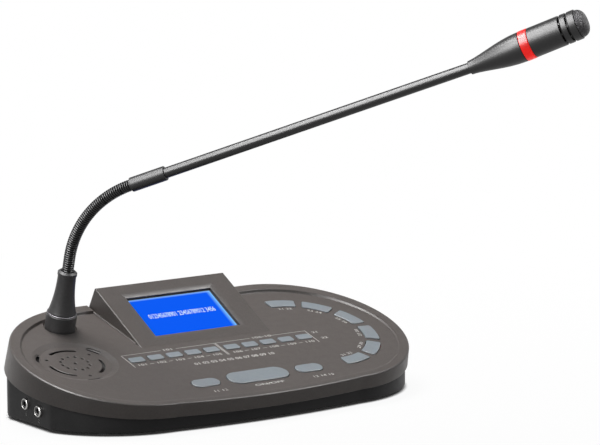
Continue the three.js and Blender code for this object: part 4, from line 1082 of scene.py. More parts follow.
class BuildTopShell(bpy.types.Operator):
    """Builds the top shell with its rim, key holes and loudspeaker dish"""

    bl_idname = "console.top_shell"
    bl_label = "Top shell"

    # How far the cutters reach below the deck, and above all that stands on it.
    below, above = -8 * MM, 6 * MM

    def execute(self, context):
        size = context.scene.console_sizes
        shell = self.add_shell(size)
        carve(shell, [self.dish(context.scene.speaker_sizes), *self.seats(context)])
        carve(shell, self.openings(context))
        shell.data.transform(deck_matrix(size))
        dress(shell, "moulded_abs", replaces=["top_shell"], smooth=28)
        return {"FINISHED"}

    def add_shell(self, size):
        """The closed shell before its holes are cut: underside, skirt, edge, rim and field."""
        flare, wall = size.skirt_flare, size.shell_wall
        lip, rim = partial(lip_height, size), partial(rim_height, size)
        rings = [
            ring_at(console_outline(size, wall), -wall),
            ring_at(console_outline(size, wall - flare), lip),
        ]
        for inset, rise in ((0.35, 0.0), (0.1, 0.07), (0.0, 0.3)):
            rings.append(ring_at(console_outline(size, inset * MM - flare), lip, rise * MM))
        for inset, drop in quarter_round(size.edge_round, 6):
            rings.append(ring_at(console_outline(size, inset), rim, -drop))

        # The rim is a little wider at the right and at the back. Each ring of its soft fall to
        # the field has an inset in mm and a share of the rim's height.
        shift, least = (-0.9 * MM, -2 * MM), 0.02 * MM
        fall = ((-1.0, 1.0), (-0.5, 0.96), (-0.15, 0.8), (0.45, 0.2), (0.8, 0.05), (1.3, 0.0))
        for inset, share in fall:
            outline = console_outline(size, size.rim_width + inset * MM, shift)
            rings.append([(x, y, share * max(rim(y), least)) for x, y in outline])
        return mesh_object("top_shell_moulding", *loft(rings))

    def dish(self, speaker):
        """The cutter of the loudspeaker's dish, with its soft upper edge."""
        inner, outer = speaker.radius - speaker.slope, speaker.radius + 3 * MM
        corners = [
            (0, -speaker.depth, 0),
            (inner, -speaker.depth, 2.5 * MM),
            (speaker.radius, -0.05 * MM, 3 * MM),
            (outer, 0.001 * MM, 0),
            (outer, self.above, 0),
            (0, self.above, 0),
        ]
        place = Matrix.Translation((speaker.x, speaker.y, 0))
        return moved(lathe(filleted(corners, 6), 96), place)

    def seats(self, context):
        """The recess round the collar, and the notch in the rim for the display hood."""
        arm, hood = context.scene.arm_sizes, context.scene.display_sizes
        floor, seat, mouth, clearance = -1 * MM, 11.0 * MM, 11.3 * MM, 1.2 * MM
        recess = [(0, floor), (seat, floor), (mouth, 1e-6), (mouth, self.above), (0, self.above)]
        left, right = (reach + hood.spread + clearance for reach in (hood.left, hood.right))
        back = console_back(context.scene.console_sizes) + 4 * MM
        corners = rectangle(-left, right, hood.top - hood.rise, back)
        return [
            moved(lathe(recess), Matrix.Translation((arm.x, arm.y, 0))),
            prism(corners, 0.004 * MM, self.above),
        ]

    def openings(self, context):
        """Cutters of every hole through the deck: the neck's, the display's, the keys' and the
        loudspeaker's."""
        arm, hood = context.scene.arm_sizes, context.scene.display_sizes
        neck_hole, clear = 8.3 * MM, 2 * MM
        from_side, from_front, from_back = 4 * MM, 3 * MM, 8 * MM
        half = hood.right - from_side
        back = console_back(context.scene.console_sizes) - from_back
        corners = rectangle(-half, half, hood.front + from_front, back)
        return [
            prism(circle((arm.x, arm.y), neck_hole, 48), self.below, clear),
            prism(corners, self.below, clear),
            *(self.key_hole(key, context.scene.key_sizes.gap) for key in keys_of(context)),
            *self.sound_holes(context.scene.speaker_sizes),
        ]

    def key_hole(self, key, gap):
        """A cutter round a key, with a small chamfer where it meets the deck."""
        chamfer, clear = 0.15 * MM, 3 * MM
        narrow, wide = key.outline(gap), key.outline(gap + chamfer)
        return loft(
            [
                ring_at(narrow, self.below),
                ring_at(narrow, -chamfer),
                ring_at(wide, 0.001 * MM),
                ring_at(wide, clear),
            ]
        )

    def sound_holes(self, speaker):
        """A hole at the middle, a ring of twelve, and two rings of slots with holes between."""
        centre = (speaker.x, speaker.y)
        holes, slots, outer_slots = 9.5 * MM, 18.6 * MM, 24.6 * MM
        count, span, outer_span = 12, 66, 24
        half, lip = 1.0 * MM, 0.5 * MM
        corner = half * 0.98
        parts = []

        def through(outline):
            rings = [ring_at(outline(0.0), self.below)]
            for inset, drop in quarter_round(lip, 4):
                rings.append(ring_at(outline(inset), -speaker.depth, -drop))
            parts.append(loft([*rings, ring_at(outline(lip), 1 * MM)]))

        def hole(radius, angle):
            place = polar(centre, radius, angle)
            through(lambda grow: circle(place, speaker.hole + grow, 20))

        def slot(radius, angle, sweep):
            low, high = radius - half, radius + half
            through(lambda grow: ring_sector(centre, low, high, angle, sweep, corner, grow, 16))

        hole(0, 0)
        for i in range(count):
            hole(holes, i * 360 / count)
        for angle in (30, 150, 270):
            hole(slots, angle)
            slot(outer_slots, angle, outer_span)
            slot(slots, angle + 60, span)
        return parts


# A key's CAD node and body, and its outline as a function of how far it is grown
Key = namedtuple("Key", "node body outline")


def channel_places(size):
    """Where the channel keys stand across the deck, in two groups."""
    from_middle = [i - (size.count - 1) / 2 for i in range(size.count)]
    return [i * size.pitch + math.copysign(size.group_gap / 2, i) + size.row_x for i in from_middle]


def arc_angles(size):
    """The arc keys' angles in degrees, from the back to the front."""
    return [((size.arc_count - 1) / 2 - i) * ARC_PITCH for i in range(size.arc_count)]


def keys_of(context):
    """Every key of the console."""
    size = context.scene.key_sizes

    def rounded(x, y, key_size):
        width, height, corner = key_size
        return lambda grow: rounded_rectangle(
            (x, y), width + 2 * grow, height + 2 * grow, corner + grow
        )

    def sector(angle):
        centre = (size.arc_x, size.arc_y)
        radii = (size.arc_inner, size.arc_outer)
        return lambda grow: ring_sector(centre, *radii, angle, ARC_SPAN, ARC_KEY_CORNER, grow)

    keys = [
        Key(f"channel_key_{i}", f"key_{i}", rounded(x, size.row_y, CHANNEL_KEY))
        for i, x in enumerate(channel_places(size), 1)
    ]
    keys.append(Key("talk_key", "talk", rounded(size.oval_x, size.oval_y, TALK_KEY)))
    for side, sign in (("left", -1), ("right", 1)):
        outline = rounded(size.oval_x + sign * size.oval_pitch, size.oval_y, OVAL_KEY)
        keys.append(Key(f"{side}_oval_key", f"{side}_oval", outline))
    for i, angle in enumerate(arc_angles(size), 1):
        keys.append(Key(f"arc_key_{i}", f"arc_{i}", sector(angle)))
    return keys


def add_keys(context, *starts):
    """Key caps with rounded edges and the flanges that keep them in, for the nodes whose names
    start so."""
    size = context.scene.key_sizes
    flange, thickness = 1.1 * MM, 1.2 * MM
    flange_top = -context.scene.console_sizes.shell_wall - 0.3 * MM
    for key in keys_of(context):
        if not key.node.startswith(starts):
            continue
        rings = [
            ring_at(key.outline(flange), flange_top - thickness),
            ring_at(key.outline(flange), flange_top),
            ring_at(key.outline(0), flange_top),
        ]
        for inset, drop in quarter_round(size.edge, 5):
            rings.append(ring_at(key.outline(-inset), size.proud, -drop))
        piece = mesh_object(f"{key.node}_cap", *loft(rings))
        piece.data.transform(deck_matrix(context.scene.console_sizes))
        dress(piece, "key_plastic", body=key.body, replaces=[key.node], smooth=40)


class BuildChannelKeys(bpy.types.Operator):
    """Builds the row of small channel keys"""

    bl_idname = "console.channel_keys"
    bl_label = "Channel keys"

    def execute(self, context):
        add_keys(context, "channel")
        return {"FINISHED"}


class BuildOvalKeys(bpy.types.Operator):
    """Builds the talk key and the two oval keys"""

    bl_idname = "console.oval_keys"
    bl_label = "Talk and oval keys"

    def execute(self, context):
        add_keys(context, "talk", "left_oval", "right_oval")
        return {"FINISHED"}


class BuildArcKeys(bpy.types.Operator):
    """Builds the keys that stand in an arc"""

    bl_idname = "console.arc_keys"
    bl_label = "Arc keys"

    def execute(self, context):
        add_keys(context, "arc")
        return {"FINISHED"}


def window_rings(context, sizes):
    """Outlines of the window in the hood's face, each (inset in mm, level in mm)."""
    hood = context.scene.display_sizes
    centre = (0, hood.window_front + hood.window_height / 2)
    corner = 0.3 * MM
    rings = []
    for inset, level in sizes:
        width, height = (
            side - 2 * inset * MM for side in (hood.window_width, hood.window_height)
        )
        rings.append(ring_at(rounded_rectangle(centre, width, height, corner, 3), level * MM))
    return rings


class BuildDisplayHood(bpy.types.Operator):
    """Builds the wedge-shaped hood and the well of its window"""

    bl_idname = "console.display_hood"
    bl_label = "Display hood"

    def execute(self, context):
        hood = context.scene.display_sizes
        size = context.scene.console_sizes
        piece = self.wedge(hood, size)
        to_deck = deck_matrix(size).inverted() @ hood_matrix(context)
        bevel, drop, well = hood.bevel / MM, hood.bevel_drop / MM, hood.well / MM

        # All in mm. A sleeve lines the well under the hood's face. Below its bevel, the window
        # steps in a little further.
        wall, foot, step, through, clear = 1.4, 0.8, 0.45, 30, 8
        sleeve = ((bevel - wall, -well - foot), (bevel - wall, -drop - 0.6))
        carve(piece, [moved(loft(window_rings(context, sleeve)), to_deck)], "UNION")
        window = (
            (bevel + step, -through),
            (bevel + step, -drop - step),
            (bevel + 0.3, -drop - 0.12),
            (bevel, -drop),
            (0, 0.001),
            (0, clear),
        )
        carve(piece, [moved(loft(window_rings(context, window)), to_deck)])
        piece.data.transform(deck_matrix(size))
        dress(piece, "moulded_abs", replaces=["display_hood"], smooth=28)
        return {"FINISHED"}

    def wedge(self, hood, size):
        """The solid hood, in the deck's frame, with side walls that spread to their foot."""
        # Its foot stands a little into the deck, so that its face runs out onto the deck.
        sunk, edge, rounding = 0.9 * MM, 0.05 * MM, 0.7 * MM
        back = console_back(size) - sunk
        vertices = []
        for side, reach in ((-1, hood.left), (1, hood.right)):
            half = side * reach
            vertices += [
                (half, hood.front, -sunk),
                (half + side * hood.spread, back, -sunk),
                (half, hood.top, hood.rise + edge),
                (half, hood.front, edge),
            ]
        faces = [(0, 1, 2, 3), (7, 6, 5, 4), (0, 4, 5, 1), (1, 5, 6, 2), (2, 6, 7, 3), (3, 7, 4, 0)]
        piece = mesh_object("display_hood_moulding", vertices, faces)
        soften(piece, rounding, 4, above=1 * MM)
        carve(piece, [self.flange(hood, sunk, back)], "UNION")
        return piece

    def flange(self, hood, sunk, back):
        """The low step round the hood's foot."""
        width, chamfer, wall, top = 0.9 * MM, 0.35 * MM, 0.3 * MM, 0.6 * MM
        front = hood.front + 6 * MM
        outer = [
            (-hood.left - width, front),
            (hood.right + width, front),
            (hood.right + hood.spread + width, back),
            (-hood.left - hood.spread - width, back),
        ]
        inner = [(x - math.copysign(chamfer, x), y) for x, y in outer]
        return loft([ring_at(outer, -sunk), ring_at(outer, wall), ring_at(inner, top)])


class BuildDisplay(bpy.types.Operator):
    """Builds the black frame, the lit panel and its figures"""

    bl_idname = "console.display"
    bl_label = "Display"

    def execute(self, context):
        hood = context.scene.display_sizes
        place = hood_matrix(context)
        edge, border = (hood.bevel + 0.55 * MM) / MM, 0.9
        self.add_frame(context, place, edge, edge + border)
        self.add_panel(context, place, edge + border)
        self.add_figures(hood, place)
        return {"FINISHED"}

    def add_frame(self, context, place, edge, inside):
        """A black frame round the lit area, under the window's edge."""
        well = context.scene.display_sizes.well / MM
        foot, low, high, top = -well - 0.6, 0.05 - well, 0.3 - well, 0.9 - well
        outside = edge - 3.0
        sizes = (
            (outside, foot),
            (outside, high),
            (edge - 0.7, high),
            (edge - 0.6, top),
            (edge, top),
            (edge, low),
            (inside, low),
            (inside, foot),
        )
        loops = window_rings(context, sizes)
        piece = mesh_object("display_bezel", *loft(loops, closed=True), place)
        dress(piece, "black_plastic", replaces=["display_frame"], smooth=30)

    def add_panel(self, context, place, edge):
        """The glass, with a bevelled edge, and its picture area mapped from corner to corner."""
        hood = context.scene.display_sizes
        well = hood.well / MM
        outside, chamfered = edge - 2.5, edge - 2.2
        sizes = ((outside, -well - 2.1), (outside, -well - 0.25), (chamfered, -well))
        piece = mesh_object("display_glass_panel", *loft(window_rings(context, sizes)))
        width, height = (side - 2 * edge * MM for side in (hood.window_width, hood.window_height))
        middle = hood.window_front + hood.window_height / 2
        map_corners(
            piece, "picture", lambda p: (p.x / width + 0.5, (p.y - middle) / height + 0.5)
        )
        piece.data.transform(place)
        dress(piece, "lit_panel", replaces=["display_panel"], smooth=30)

    def add_figures(self, hood, place):
        height, weight, off = 4.4 * MM, 0.05 * MM, 0.03 * MM
        left, up = -0.3 * MM, 0.4 * MM
        middle = hood.window_front + hood.window_height / 2
        spot = Matrix.Translation((left, middle + up, off - hood.well))
        part = digits(hood.text, height, 0.6, weight)
        piece = mesh_object("display_figures", *moved(part, place @ spot))
        dress(piece, "display_ink", flat=True)


class BuildPrinting(bpy.types.Operator):
    """Prints the frame round the channel keys and plain figures by every key"""

    bl_idname = "console.printing"
    bl_label = "Printing"

    thin, thick = 0.35 * MM, 0.5 * MM

    def execute(self, context):
        parts = self.frame_lines() + self.row_figures(context) + self.key_figures(context)
        self.add_print("deck_printing", parts, deck_matrix(context.scene.console_sizes))
        below, height = 6.4 * MM, 2.4 * MM
        upright = Matrix.Translation((-below, 0, 0)) @ Matrix.Rotation(math.radians(90), 4, "Z")
        marks = [
            moved(digits(str(number), height, 1.1), place @ upright)
            for number, place in enumerate(jack_places(context), 1)
        ]
        self.add_print("jack_printing", marks, Matrix())
        return {"FINISHED"}

    def add_print(self, name, parts, place):
        """Ink lies a little off its surface, so that the two don't flicker."""
        off = Matrix.Translation((0, 0, 0.012 * MM))
        piece = mesh_object(name, *joined(parts), place @ off)
        dress(piece, "ink", flat=True)

    def line(self, start, end, width):
        """A straight printed line with square ends."""
        along = (Vector(end) - Vector(start)).normalized() * width / 2
        side = Vector((-along.y, along.x))
        a, b = Vector(start) - along, Vector(end) + along
        corners = [tuple(c) for c in (a - side, b - side, b + side, a + side)]
        return prism(corners, 0.0, 0.02 * MM)

    def label(self, text, x, y, height, stretch, turn=0.0, weight=0.03 * MM):
        place = Matrix.Translation((x, y, 0)) @ Matrix.Rotation(turn, 4, "Z")
        return moved(digits(text, height, stretch, weight), place)

    def frame_lines(self):
        """A frame round each group of channel keys, open at its top where its figures stand."""
        reach, low, high, shift = 73.2 * MM, -15.6 * MM, 2.0 * MM, 0.9 * MM
        parts = []
        for side, opening in ((-1, 6.2 * MM), (1, 8.6 * MM)):
            inner, outer, middle = side * 0.5 * MM, side * reach, side * reach / 2
            for end in (inner, outer):
                stop = middle + math.copysign(opening, abs(end) - abs(middle)) * side
                parts.append(self.line((stop + shift, high), (end + shift, high), self.thin))
                parts.append(self.line((end + shift, high), (end + shift, low), self.thick))
        return parts

    def row_figures(self, context):
        """The channel keys' numbers with dashes between them, and the figures above and below."""
        keys = context.scene.key_sizes
        names = [f"{101 + i}" for i in range(keys.count)]
        places = channel_places(keys)
        under, dash, above = keys.row_y - 7.4 * MM, 1.4 * MM, 2.0 * MM
        parts = [self.label(name, x, under, 2.4 * MM, 1.55) for name, x in zip(names, places)]
        for a, b in zip(places, places[1:]):
            if a * b > 0:
                middle = (a + b) / 2
                parts.append(self.line((middle - dash, under), (middle + dash, under), self.thin))
        half = keys.count // 2
        for first, last, text in (
            (0, half - 1, names[0]),
            (half, keys.count - 1, f"{names[half]}-{names[-1][1:]}"),
        ):
            parts.append(self.label(text, (places[first] + places[last]) / 2, above, 2.5 * MM, 1.6))
        run = " ".join(name[1:] for name in names)
        low = under - 8.8 * MM
        parts.append(self.label(run, keys.row_x, low, 3.0 * MM, 1.18, weight=0.06 * MM))
        for text, x, rise in (("21", 80.1 * MM, 11.8 * MM), ("22", 81.7 * MM, 2.6 * MM)):
            parts.append(self.label(text, x, under + rise, 2.2 * MM, 1.7))
        return parts

    def key_figures(self, context):
        """Plain figures below the talk and oval keys and inside the arc."""
        keys = context.scene.key_sizes
        below, height = keys.oval_y - 12.4 * MM, 2.4 * MM
        parts = [
            self.label("ON/OFF", 3.2 * MM, below, 2.3 * MM, 1.95, weight=0.07 * MM),
            self.label("11 12", -35.4 * MM, keys.oval_y - 12.6 * MM, height, 1.45),
            self.label("13 14 15", 46 * MM, below, height, 1.4),
        ]
        reach = keys.arc_inner - 3.2 * MM
        for i, angle in enumerate(arc_angles(keys)):
            x, y = polar((keys.arc_x, keys.arc_y), reach, angle)
            turn = math.radians(angle) - math.copysign(math.pi / 2, angle)
            parts.append(self.label(f"{21 + 2 * i} {22 + 2 * i}", x, y, 2.3 * MM, 1.4, turn))
        return parts


class BuildNeckMount(bpy.types.Operator):
    """Builds the collar, the bright ring and the boot"""

    bl_idname = "console.neck_mount"
    bl_label = "Neck mount"

    def execute(self, context):
        place = arm_matrix(context)
        self.add_collar(place)
        self.add_ring(place)
        self.add_boot(context.scene.arm_sizes, place)
        return {"FINISHED"}

    def add_collar(self, place):
        bore, thread, flange, inner = 3.2, 8, 10.2, 9.4
        low, seat, shoulder, top = -9, -0.7, 10, 10.2
        corners = [
            (bore, low, 0),
            (thread, low, 0.3),
            (thread, seat, 0),
            (flange, seat, 0),
            (flange, shoulder, 0.5),
            (inner, top, 0),
            (bore, top, 0),
        ]
        piece = turned("neck_collar_turned", filleted(in_mm(corners)), place)
        dress(piece, "boot_finish", replaces=["neck_collar"])

    def add_ring(self, place):
        bore, radius, low, high, rounding = 3.2, 9.9, 10.3, 11.1, 0.3
        corners = [(bore, low, 0), (radius, low, rounding), (radius, high, rounding), (bore, high, 0)]
        piece = turned("boot_ring_turned", filleted(in_mm(corners), 3), place)
        dress(piece, "nickel", replaces=["boot_ring"])

    def add_boot(self, arm, place):
        """The boot sweeps in from its foot to a waist, under a cap that holds the gooseneck."""
        low, waist, top = 11.4 * MM, arm.boot_top - BOOT_CAP, arm.boot_top
        bore, foot, neck = 1.6 * MM, 9.3 * MM, 4.4 * MM
        narrow, cap, rim = 6.1 * MM, 6.45 * MM, 4.9 * MM
        sweep, steps, power = 3.2 * MM, 16, 2.2
        corners = [(bore, low, 0), (foot - 0.3 * MM, low, 0), (foot, low + 0.4 * MM, 0)]
        for i in range(1, steps):
            up = i / steps
            corners.append((narrow + sweep * (1 - up) ** power, low + (waist - low) * up, 0))
        corners += [
            (narrow - 0.05 * MM, waist - 0.2 * MM, 0),
            (cap, waist + 0.15 * MM, 0.15 * MM),
            (cap, top - 1.2 * MM, 0.3 * MM),
            (rim, top, 0.3 * MM),
            (neck, top, 0.2 * MM),
            (neck, neck_start(arm) - 0.4 * MM, 0),
            (bore, neck_start(arm), 0),
        ]
        piece = turned("neck_boot_turned", filleted(corners), place)
        dress(piece, "boot_finish", replaces=["neck_boot"], smooth=25)


class BuildGooseneck(bpy.types.Operator):
    """Builds the wound gooseneck in lengths, each running across one of its joints"""

    bl_idname = "console.gooseneck"
    bl_label = "Gooseneck"

    def execute(self, context):
        arm = context.scene.arm_sizes
        place = arm_matrix(context)
        start, end, gap, count = neck_start(arm), neck_end(arm), 0.7 * MM, 6
        into_boot, into_ferrule = 1.2 * MM, 3.5 * MM
        length = (end - start - gap) / count - gap
        joints = [start + gap / 2 + k * (length + gap) for k in range(count + 1)]
        middles = [(a + b) / 2 for a, b in zip(joints, joints[1:])]
        cuts = [start - into_boot, *middles, end + into_ferrule]
        for k in range(count + 1):
            piece = self.add_length(arm, place, cuts[k], cuts[k + 1], f"gooseneck_winding_{k + 1}")
            dress(piece, "black_gooseneck", body=None, smooth=50)
            if k < count:
                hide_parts(f"neck_segment_{k + 1}")
            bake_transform(piece)
        return {"FINISHED"}

    def add_length(self, arm, place, low, high, name):
        """A length of round wire wound tightly, seen as rounded ribs with sharp grooves."""
        rib_shares = ((0.0, 0.0), (0.12, 0.55), (0.3, 0.92), (0.5, 1.0), (0.7, 0.92), (0.88, 0.55))
        depth, slack = 0.75 * MM, 1e-9
        first, last = math.floor(low / arm.rib_pitch), math.ceil(high / arm.rib_pitch)
        sides = 28
        turns = [2 * math.pi * i / sides for i in range(sides)]
        rings = []
        for rib in range(first, last):
            for along, share in rib_shares:
                distance = (rib + along) * arm.rib_pitch
                if not low - slack <= distance <= high + slack:
                    continue
                radius = arm.neck_radius - depth * (1 - share)
                here = neck_frame(arm, distance)
                spots = [(radius * math.cos(turn), radius * math.sin(turn), 0) for turn in turns]
                rings.append([tuple(here @ Vector(spot)) for spot in spots])
        return mesh_object(name, *loft(rings), place)


class BuildStem(bpy.types.Operator):
    """Builds the ferrule and the stem tube"""

    bl_idname = "console.stem"
    bl_label = "Ferrule and stem"

    def execute(self, context):
        arm = context.scene.arm_sizes
        place = stem_matrix(context)
        self.add_ferrule(arm, place)
        self.add_stem(arm, place)
        return {"FINISHED"}

    def add_ferrule(self, arm, place):
        radius, length, bore = arm.ferrule_radius, arm.ferrule_length, 3.75 * MM
        corners = [
            (bore, 0.45 * MM, 0),
            (bore + 0.25 * MM, 0.35 * MM, 0),
            (radius, 0.7 * MM, 0.4 * MM),
            (radius, length - 0.2 * MM, 0.45 * MM),
            (radius - 1.2 * MM, length, 0),
            (bore, length - 0.3 * MM, 0),
        ]
        piece = turned("ferrule_turned", filleted(corners), place, 72)
        dress(piece, "dark_anodised", body=HEAD, replaces=["neck_ferrule"])

    def add_stem(self, arm, place):
        """The tube, from inside the ferrule to inside the head's cone."""
        radius, bore, chamfer = arm.stem_radius, 2.4 * MM, 0.2 * MM
        into_head = 7.7 * MM
        low, high = 4.3 * MM, arm.ferrule_length + arm.stem_length + into_head
        profile = [
            (bore, low),
            (radius - chamfer, low),
            (radius, low + chamfer),
            (radius, high - chamfer),
            (radius - chamfer, high),
            (bore, high),
        ]
        piece = turned("stem_tube_drawn", profile, place, 72)
        dress(piece, "dark_tube", body=HEAD, replaces=["stem_tube"])


class BuildHead(bpy.types.Operator):
    """Builds the microphone head: cone, light ring, vented barrel and mesh cap"""

    bl_idname = "console.head"
    bl_label = "Microphone head"

    def execute(self, context):
        radius = context.scene.arm_sizes.head_radius
        place = head_matrix(context)
        cone, light, barrel, gap = 36.9 * MM, 5.7 * MM, 32 * MM, 0.15 * MM
        light_start = cone + gap
        start = light_start + light + gap
        self.add_cone(place, radius, cone)
        self.add_light(place, radius, light_start, light_start + light)
        self.add_barrel(place, radius, start, start + barrel)
        self.add_cap(place, start + barrel + gap)
        return {"FINISHED"}

    def add_cone(self, place, radius, length):
        small, mouth, bore, foot = 4.5 * MM, 3.6 * MM, 3.95 * MM, 0.3 * MM
        steps, power = 24, 1.4
        corners = [(bore, 4 * MM, 0), (mouth, 0.15 * MM, 0), (small - 0.1 * MM, 0.05 * MM, 0.1 * MM)]
        for i in range(steps):
            along = i / steps
            swell = math.sin(along * math.pi / 2) ** power
            corners.append((small + (radius - small) * swell, foot + (length - foot) * along, 0))
        corners += [
            (radius, length - 0.25 * MM, 0.2 * MM),
            (radius - 0.3 * MM, length, 0),
            (6.9 * MM, length, 0),
            (bore, 9 * MM, 0),
        ]
        piece = turned("head_cone_turned", filleted(corners, 3), place)
        dress(piece, "dark_anodised", body=HEAD, replaces=["head_cone"], smooth=30)

    def add_light(self, place, radius, low, high):
        inner, outer, rounding = radius - 2 * MM, radius + 0.2 * MM, 0.35 * MM
        corners = [(inner, low, 0), (outer, low, rounding), (outer, high, rounding), (inner, high, 0)]
        piece = turned("light_ring_moulding", filleted(corners), place)
        dress(piece, "red_diffuser", body=HEAD, replaces=["light_ring"])

    def add_barrel(self, place, radius, low, high):
        """The barrel, with grooves that its vents open into."""
        inner, from_front, pitch = radius - 1.4 * MM, 5.4 * MM, 4.9 * MM
        half, depth = 0.6 * MM, 0.65 * MM
        grooves = [high - from_front - row * pitch for row in range(GROOVES)]
        corners = [(inner, low, 0), (radius - 0.3 * MM, low, 0), (radius, low + 0.3 * MM, 0.2 * MM)]
        for middle in reversed(grooves):
            a, b = middle - half, middle + half
            corners += [
                (radius, a, 0.15 * MM),
                (radius - depth, a + 0.2 * MM, 0.1 * MM),
                (radius - depth, b - 0.3 * MM, 0.1 * MM),
                (radius, b + 0.5 * MM, 0.3 * MM),
            ]
        corners += [(radius, high, 0.25 * MM), (inner, high, 0)]
        piece = turned("head_barrel_turned", filleted(corners, 3))
        carve(piece, self.vents(grooves))
        piece.data.transform(place)
        dress(piece, "dark_anodised", body=HEAD, replaces=["head_barrel"], smooth=30)

    def vents(self, grooves):
        """Round-ended slots through the barrel, each row half a pitch round from the last."""
        length, width, corner = 5.8 * MM, 0.8 * MM, 0.38 * MM
        slot = prism(rounded_rectangle((0, 0), length, width, corner, 5), 5 * MM, 14 * MM)
        square = math.radians(90)
        aim = Matrix.Rotation(square, 4, "Y") @ Matrix.Rotation(square, 4, "Z")
        parts = []
        for row, middle in enumerate(grooves):
            for i in range(VENTS):
                spin = Matrix.Rotation(2 * math.pi * (i + row / 2) / VENTS, 4, "Z")
                parts.append(moved(slot, Matrix.Translation((0, 0, middle)) @ spin @ aim))
        return parts

    def add_cap(self, place, low):
        """The domed mesh cap, mapped so that its wires keep their spacing over the dome."""
        radius, edge, wall, top = 8.95 * MM, 5.2 * MM, 0.8 * MM, low + 5.5 * MM
        profile = [(radius - wall, low), (radius, low)]
        profile += [(radius - inset, top - drop) for inset, drop in quarter_round(edge, 12)]
        profile += [(2 * MM, top + 0.12 * MM), (0, top + 0.15 * MM)]
        profile += [(0, top - wall), (radius - 4.5 * MM, top - wall)]
        piece = turned("grille_cap_pressed", profile)

        def weave(point):
            flat = math.hypot(point.x, point.y)
            stretch = (flat + max(0.0, top - point.z)) / flat if flat > 1e-6 else 1.0
            return (point.x * stretch / WIRE_PITCH, point.y * stretch / WIRE_PITCH)

        map_corners(piece, "weave", weave)
        piece.data.transform(place)
        dress(piece, "grille_steel", body=HEAD, replaces=["grille_cap"], smooth=40)


class BuildTray(bpy.types.Operator):
    """Builds the base tray with its flat ends"""

    bl_idname = "console.tray"
    bl_label = "Base tray"

    def execute(self, context):
        size = context.scene.console_sizes
        inset, wall, floor = size.tray_inset, 3.6 * MM, 2 * MM
        rounding, under_lip = 0.8 * MM, 0.3 * MM
        rings = []
        for rise, more in quarter_round(rounding, 4):
            rings.append(self.ring(size, inset + more, lambda lip, rise=rise: rise))
        rings.append(self.ring(size, inset, lambda lip: lip - under_lip))
        rings.append(self.ring(size, inset + wall, lambda lip: lip - under_lip))
        rings.append(self.ring(size, inset + wall, lambda lip: floor))
        piece = mesh_object("base_tray_pressing", *loft(rings))
        carve(piece, self.holes(context))
        dress(piece, "painted_steel", replaces=["base_tray"], smooth=30)
        return {"FINISHED"}

    def ring(self, size, inset, level):
        """The lip's outline on the desk's plane, drawn in by an inset and cut flat at both ends,
        at a level worked out from the lip's."""
        to_part = deck_matrix(size)
        more = inset - size.tray_inset
        ring = []
        for x, y in console_outline(size, inset - size.skirt_flare):
            lip = to_part @ Vector((x, y, lip_height(size, y)))
            x = min(max(lip.x, more - size.face), size.right_face - more)
            ring.append((x, lip.y, level(lip.z)))
        return ring

    def holes(self, context):
        """Cutters for the feet, the screws, the jacks and the bus socket."""
        below = -4 * MM
        foot, screw = plug(6.3 * MM, below, 0.8 * MM, 40), plug(3.1 * MM, below, 1.5 * MM)
        jack = plug(3 * MM, -9 * MM, 4 * MM)
        socket = plug(8.7 * MM, -9 * MM, 4 * MM, 48)
        return [
            *(moved(foot, Matrix.Translation((x * MM, y * MM, 0))) for x, y in FEET),
            *(moved(screw, Matrix.Translation((x * MM, y * MM, 0))) for x, y in SCREWS),
            *(moved(jack, place) for place in jack_places(context)),
            moved(socket, socket_place()),
        ]


class BuildJacks(bpy.types.Operator):
    """Builds the two headset jacks and their nuts"""

    bl_idname = "console.jacks"
    bl_label = "Headset jacks"

    def execute(self, context):
        for name, place in zip(JACKS, jack_places(context)):
            self.add_nut(name, place)
            self.add_barrel(name, place)
        return {"FINISHED"}

    def add_nut(self, name, place):
        bore, radius, mouth, seat = 2.85, 3.7, 2.95, 0.05
        corners = [
            (bore, seat, 0),
            (radius, seat, 0),
            (radius, 1.25, 0.45),
            (mouth, 1.7, 0.15),
            (bore, 1.5, 0),
        ]
        piece = turned(f"{name}_nut_turned", filleted(in_mm(corners)), place, 64)
        dress(piece, "chrome", replaces=[f"{name}_jack_nut"])

    def add_barrel(self, name, place):
        bore, radius, depth, end = 1.8, 2.7, -13, -14
        corners = [
            (0, depth, 0),
            (bore, depth, 0),
            (bore, 1.1, 0.25),
            (radius, 1.3, 0.2),
            (radius, end, 0),
            (0, end, 0),
        ]
        piece = mesh_object(f"{name}_barrel", *lathe(filleted(in_mm(corners)), 48), place)
        dress(piece, "black_plastic", replaces=[f"{name}_jack"])


class BuildBusSocket(bpy.types.Operator):
    """Builds the round bus socket with its contacts"""

    bl_idname = "console.bus_socket"
    bl_label = "Bus socket"

    def execute(self, context):
        place = socket_place()
        self.add_shell(place)
        self.add_pins(place)
        return {"FINISHED"}

    def add_shell(self, place):
        body, flange, mouth = 8.4, 11, 6.6
        end, seat, front, floor = -15.4, 0.3, 1.9, -7.1
        corners = [
            (0, end, 0),
            (body, end, 0.3),
            (body, seat, 0),
            (flange, seat, 0),
            (flange, front, 0.5),
            (mouth, front, 0.4),
            (mouth, floor, 0),
            (0, floor, 0),
        ]
        piece = mesh_object("bus_socket_moulding", *lathe(filleted(in_mm(corners))), place)
        dress(piece, "black_plastic", replaces=["bus_socket"])

    def add_pins(self, place):
        """Seven pins in a ring with a gap for the key, and one at the middle."""
        radius, foot, tip, ring = 0.45, -7.3, -1.5, 3.9 * MM
        corners = [(0, foot, 0), (radius, foot, 0), (radius, tip, 0.3), (0, tip + 0.1, 0)]
        pin = lathe(filleted(in_mm(corners)), 16)
        spots = [polar((0, 0), ring, 45 * i - 45) for i in range(7)]
        pins = [moved(pin, Matrix.Translation((*spot, 0))) for spot in spots]
        piece = mesh_object("bus_socket_pins", *moved(joined([*pins, pin]), place))
        dress(piece, "chrome")


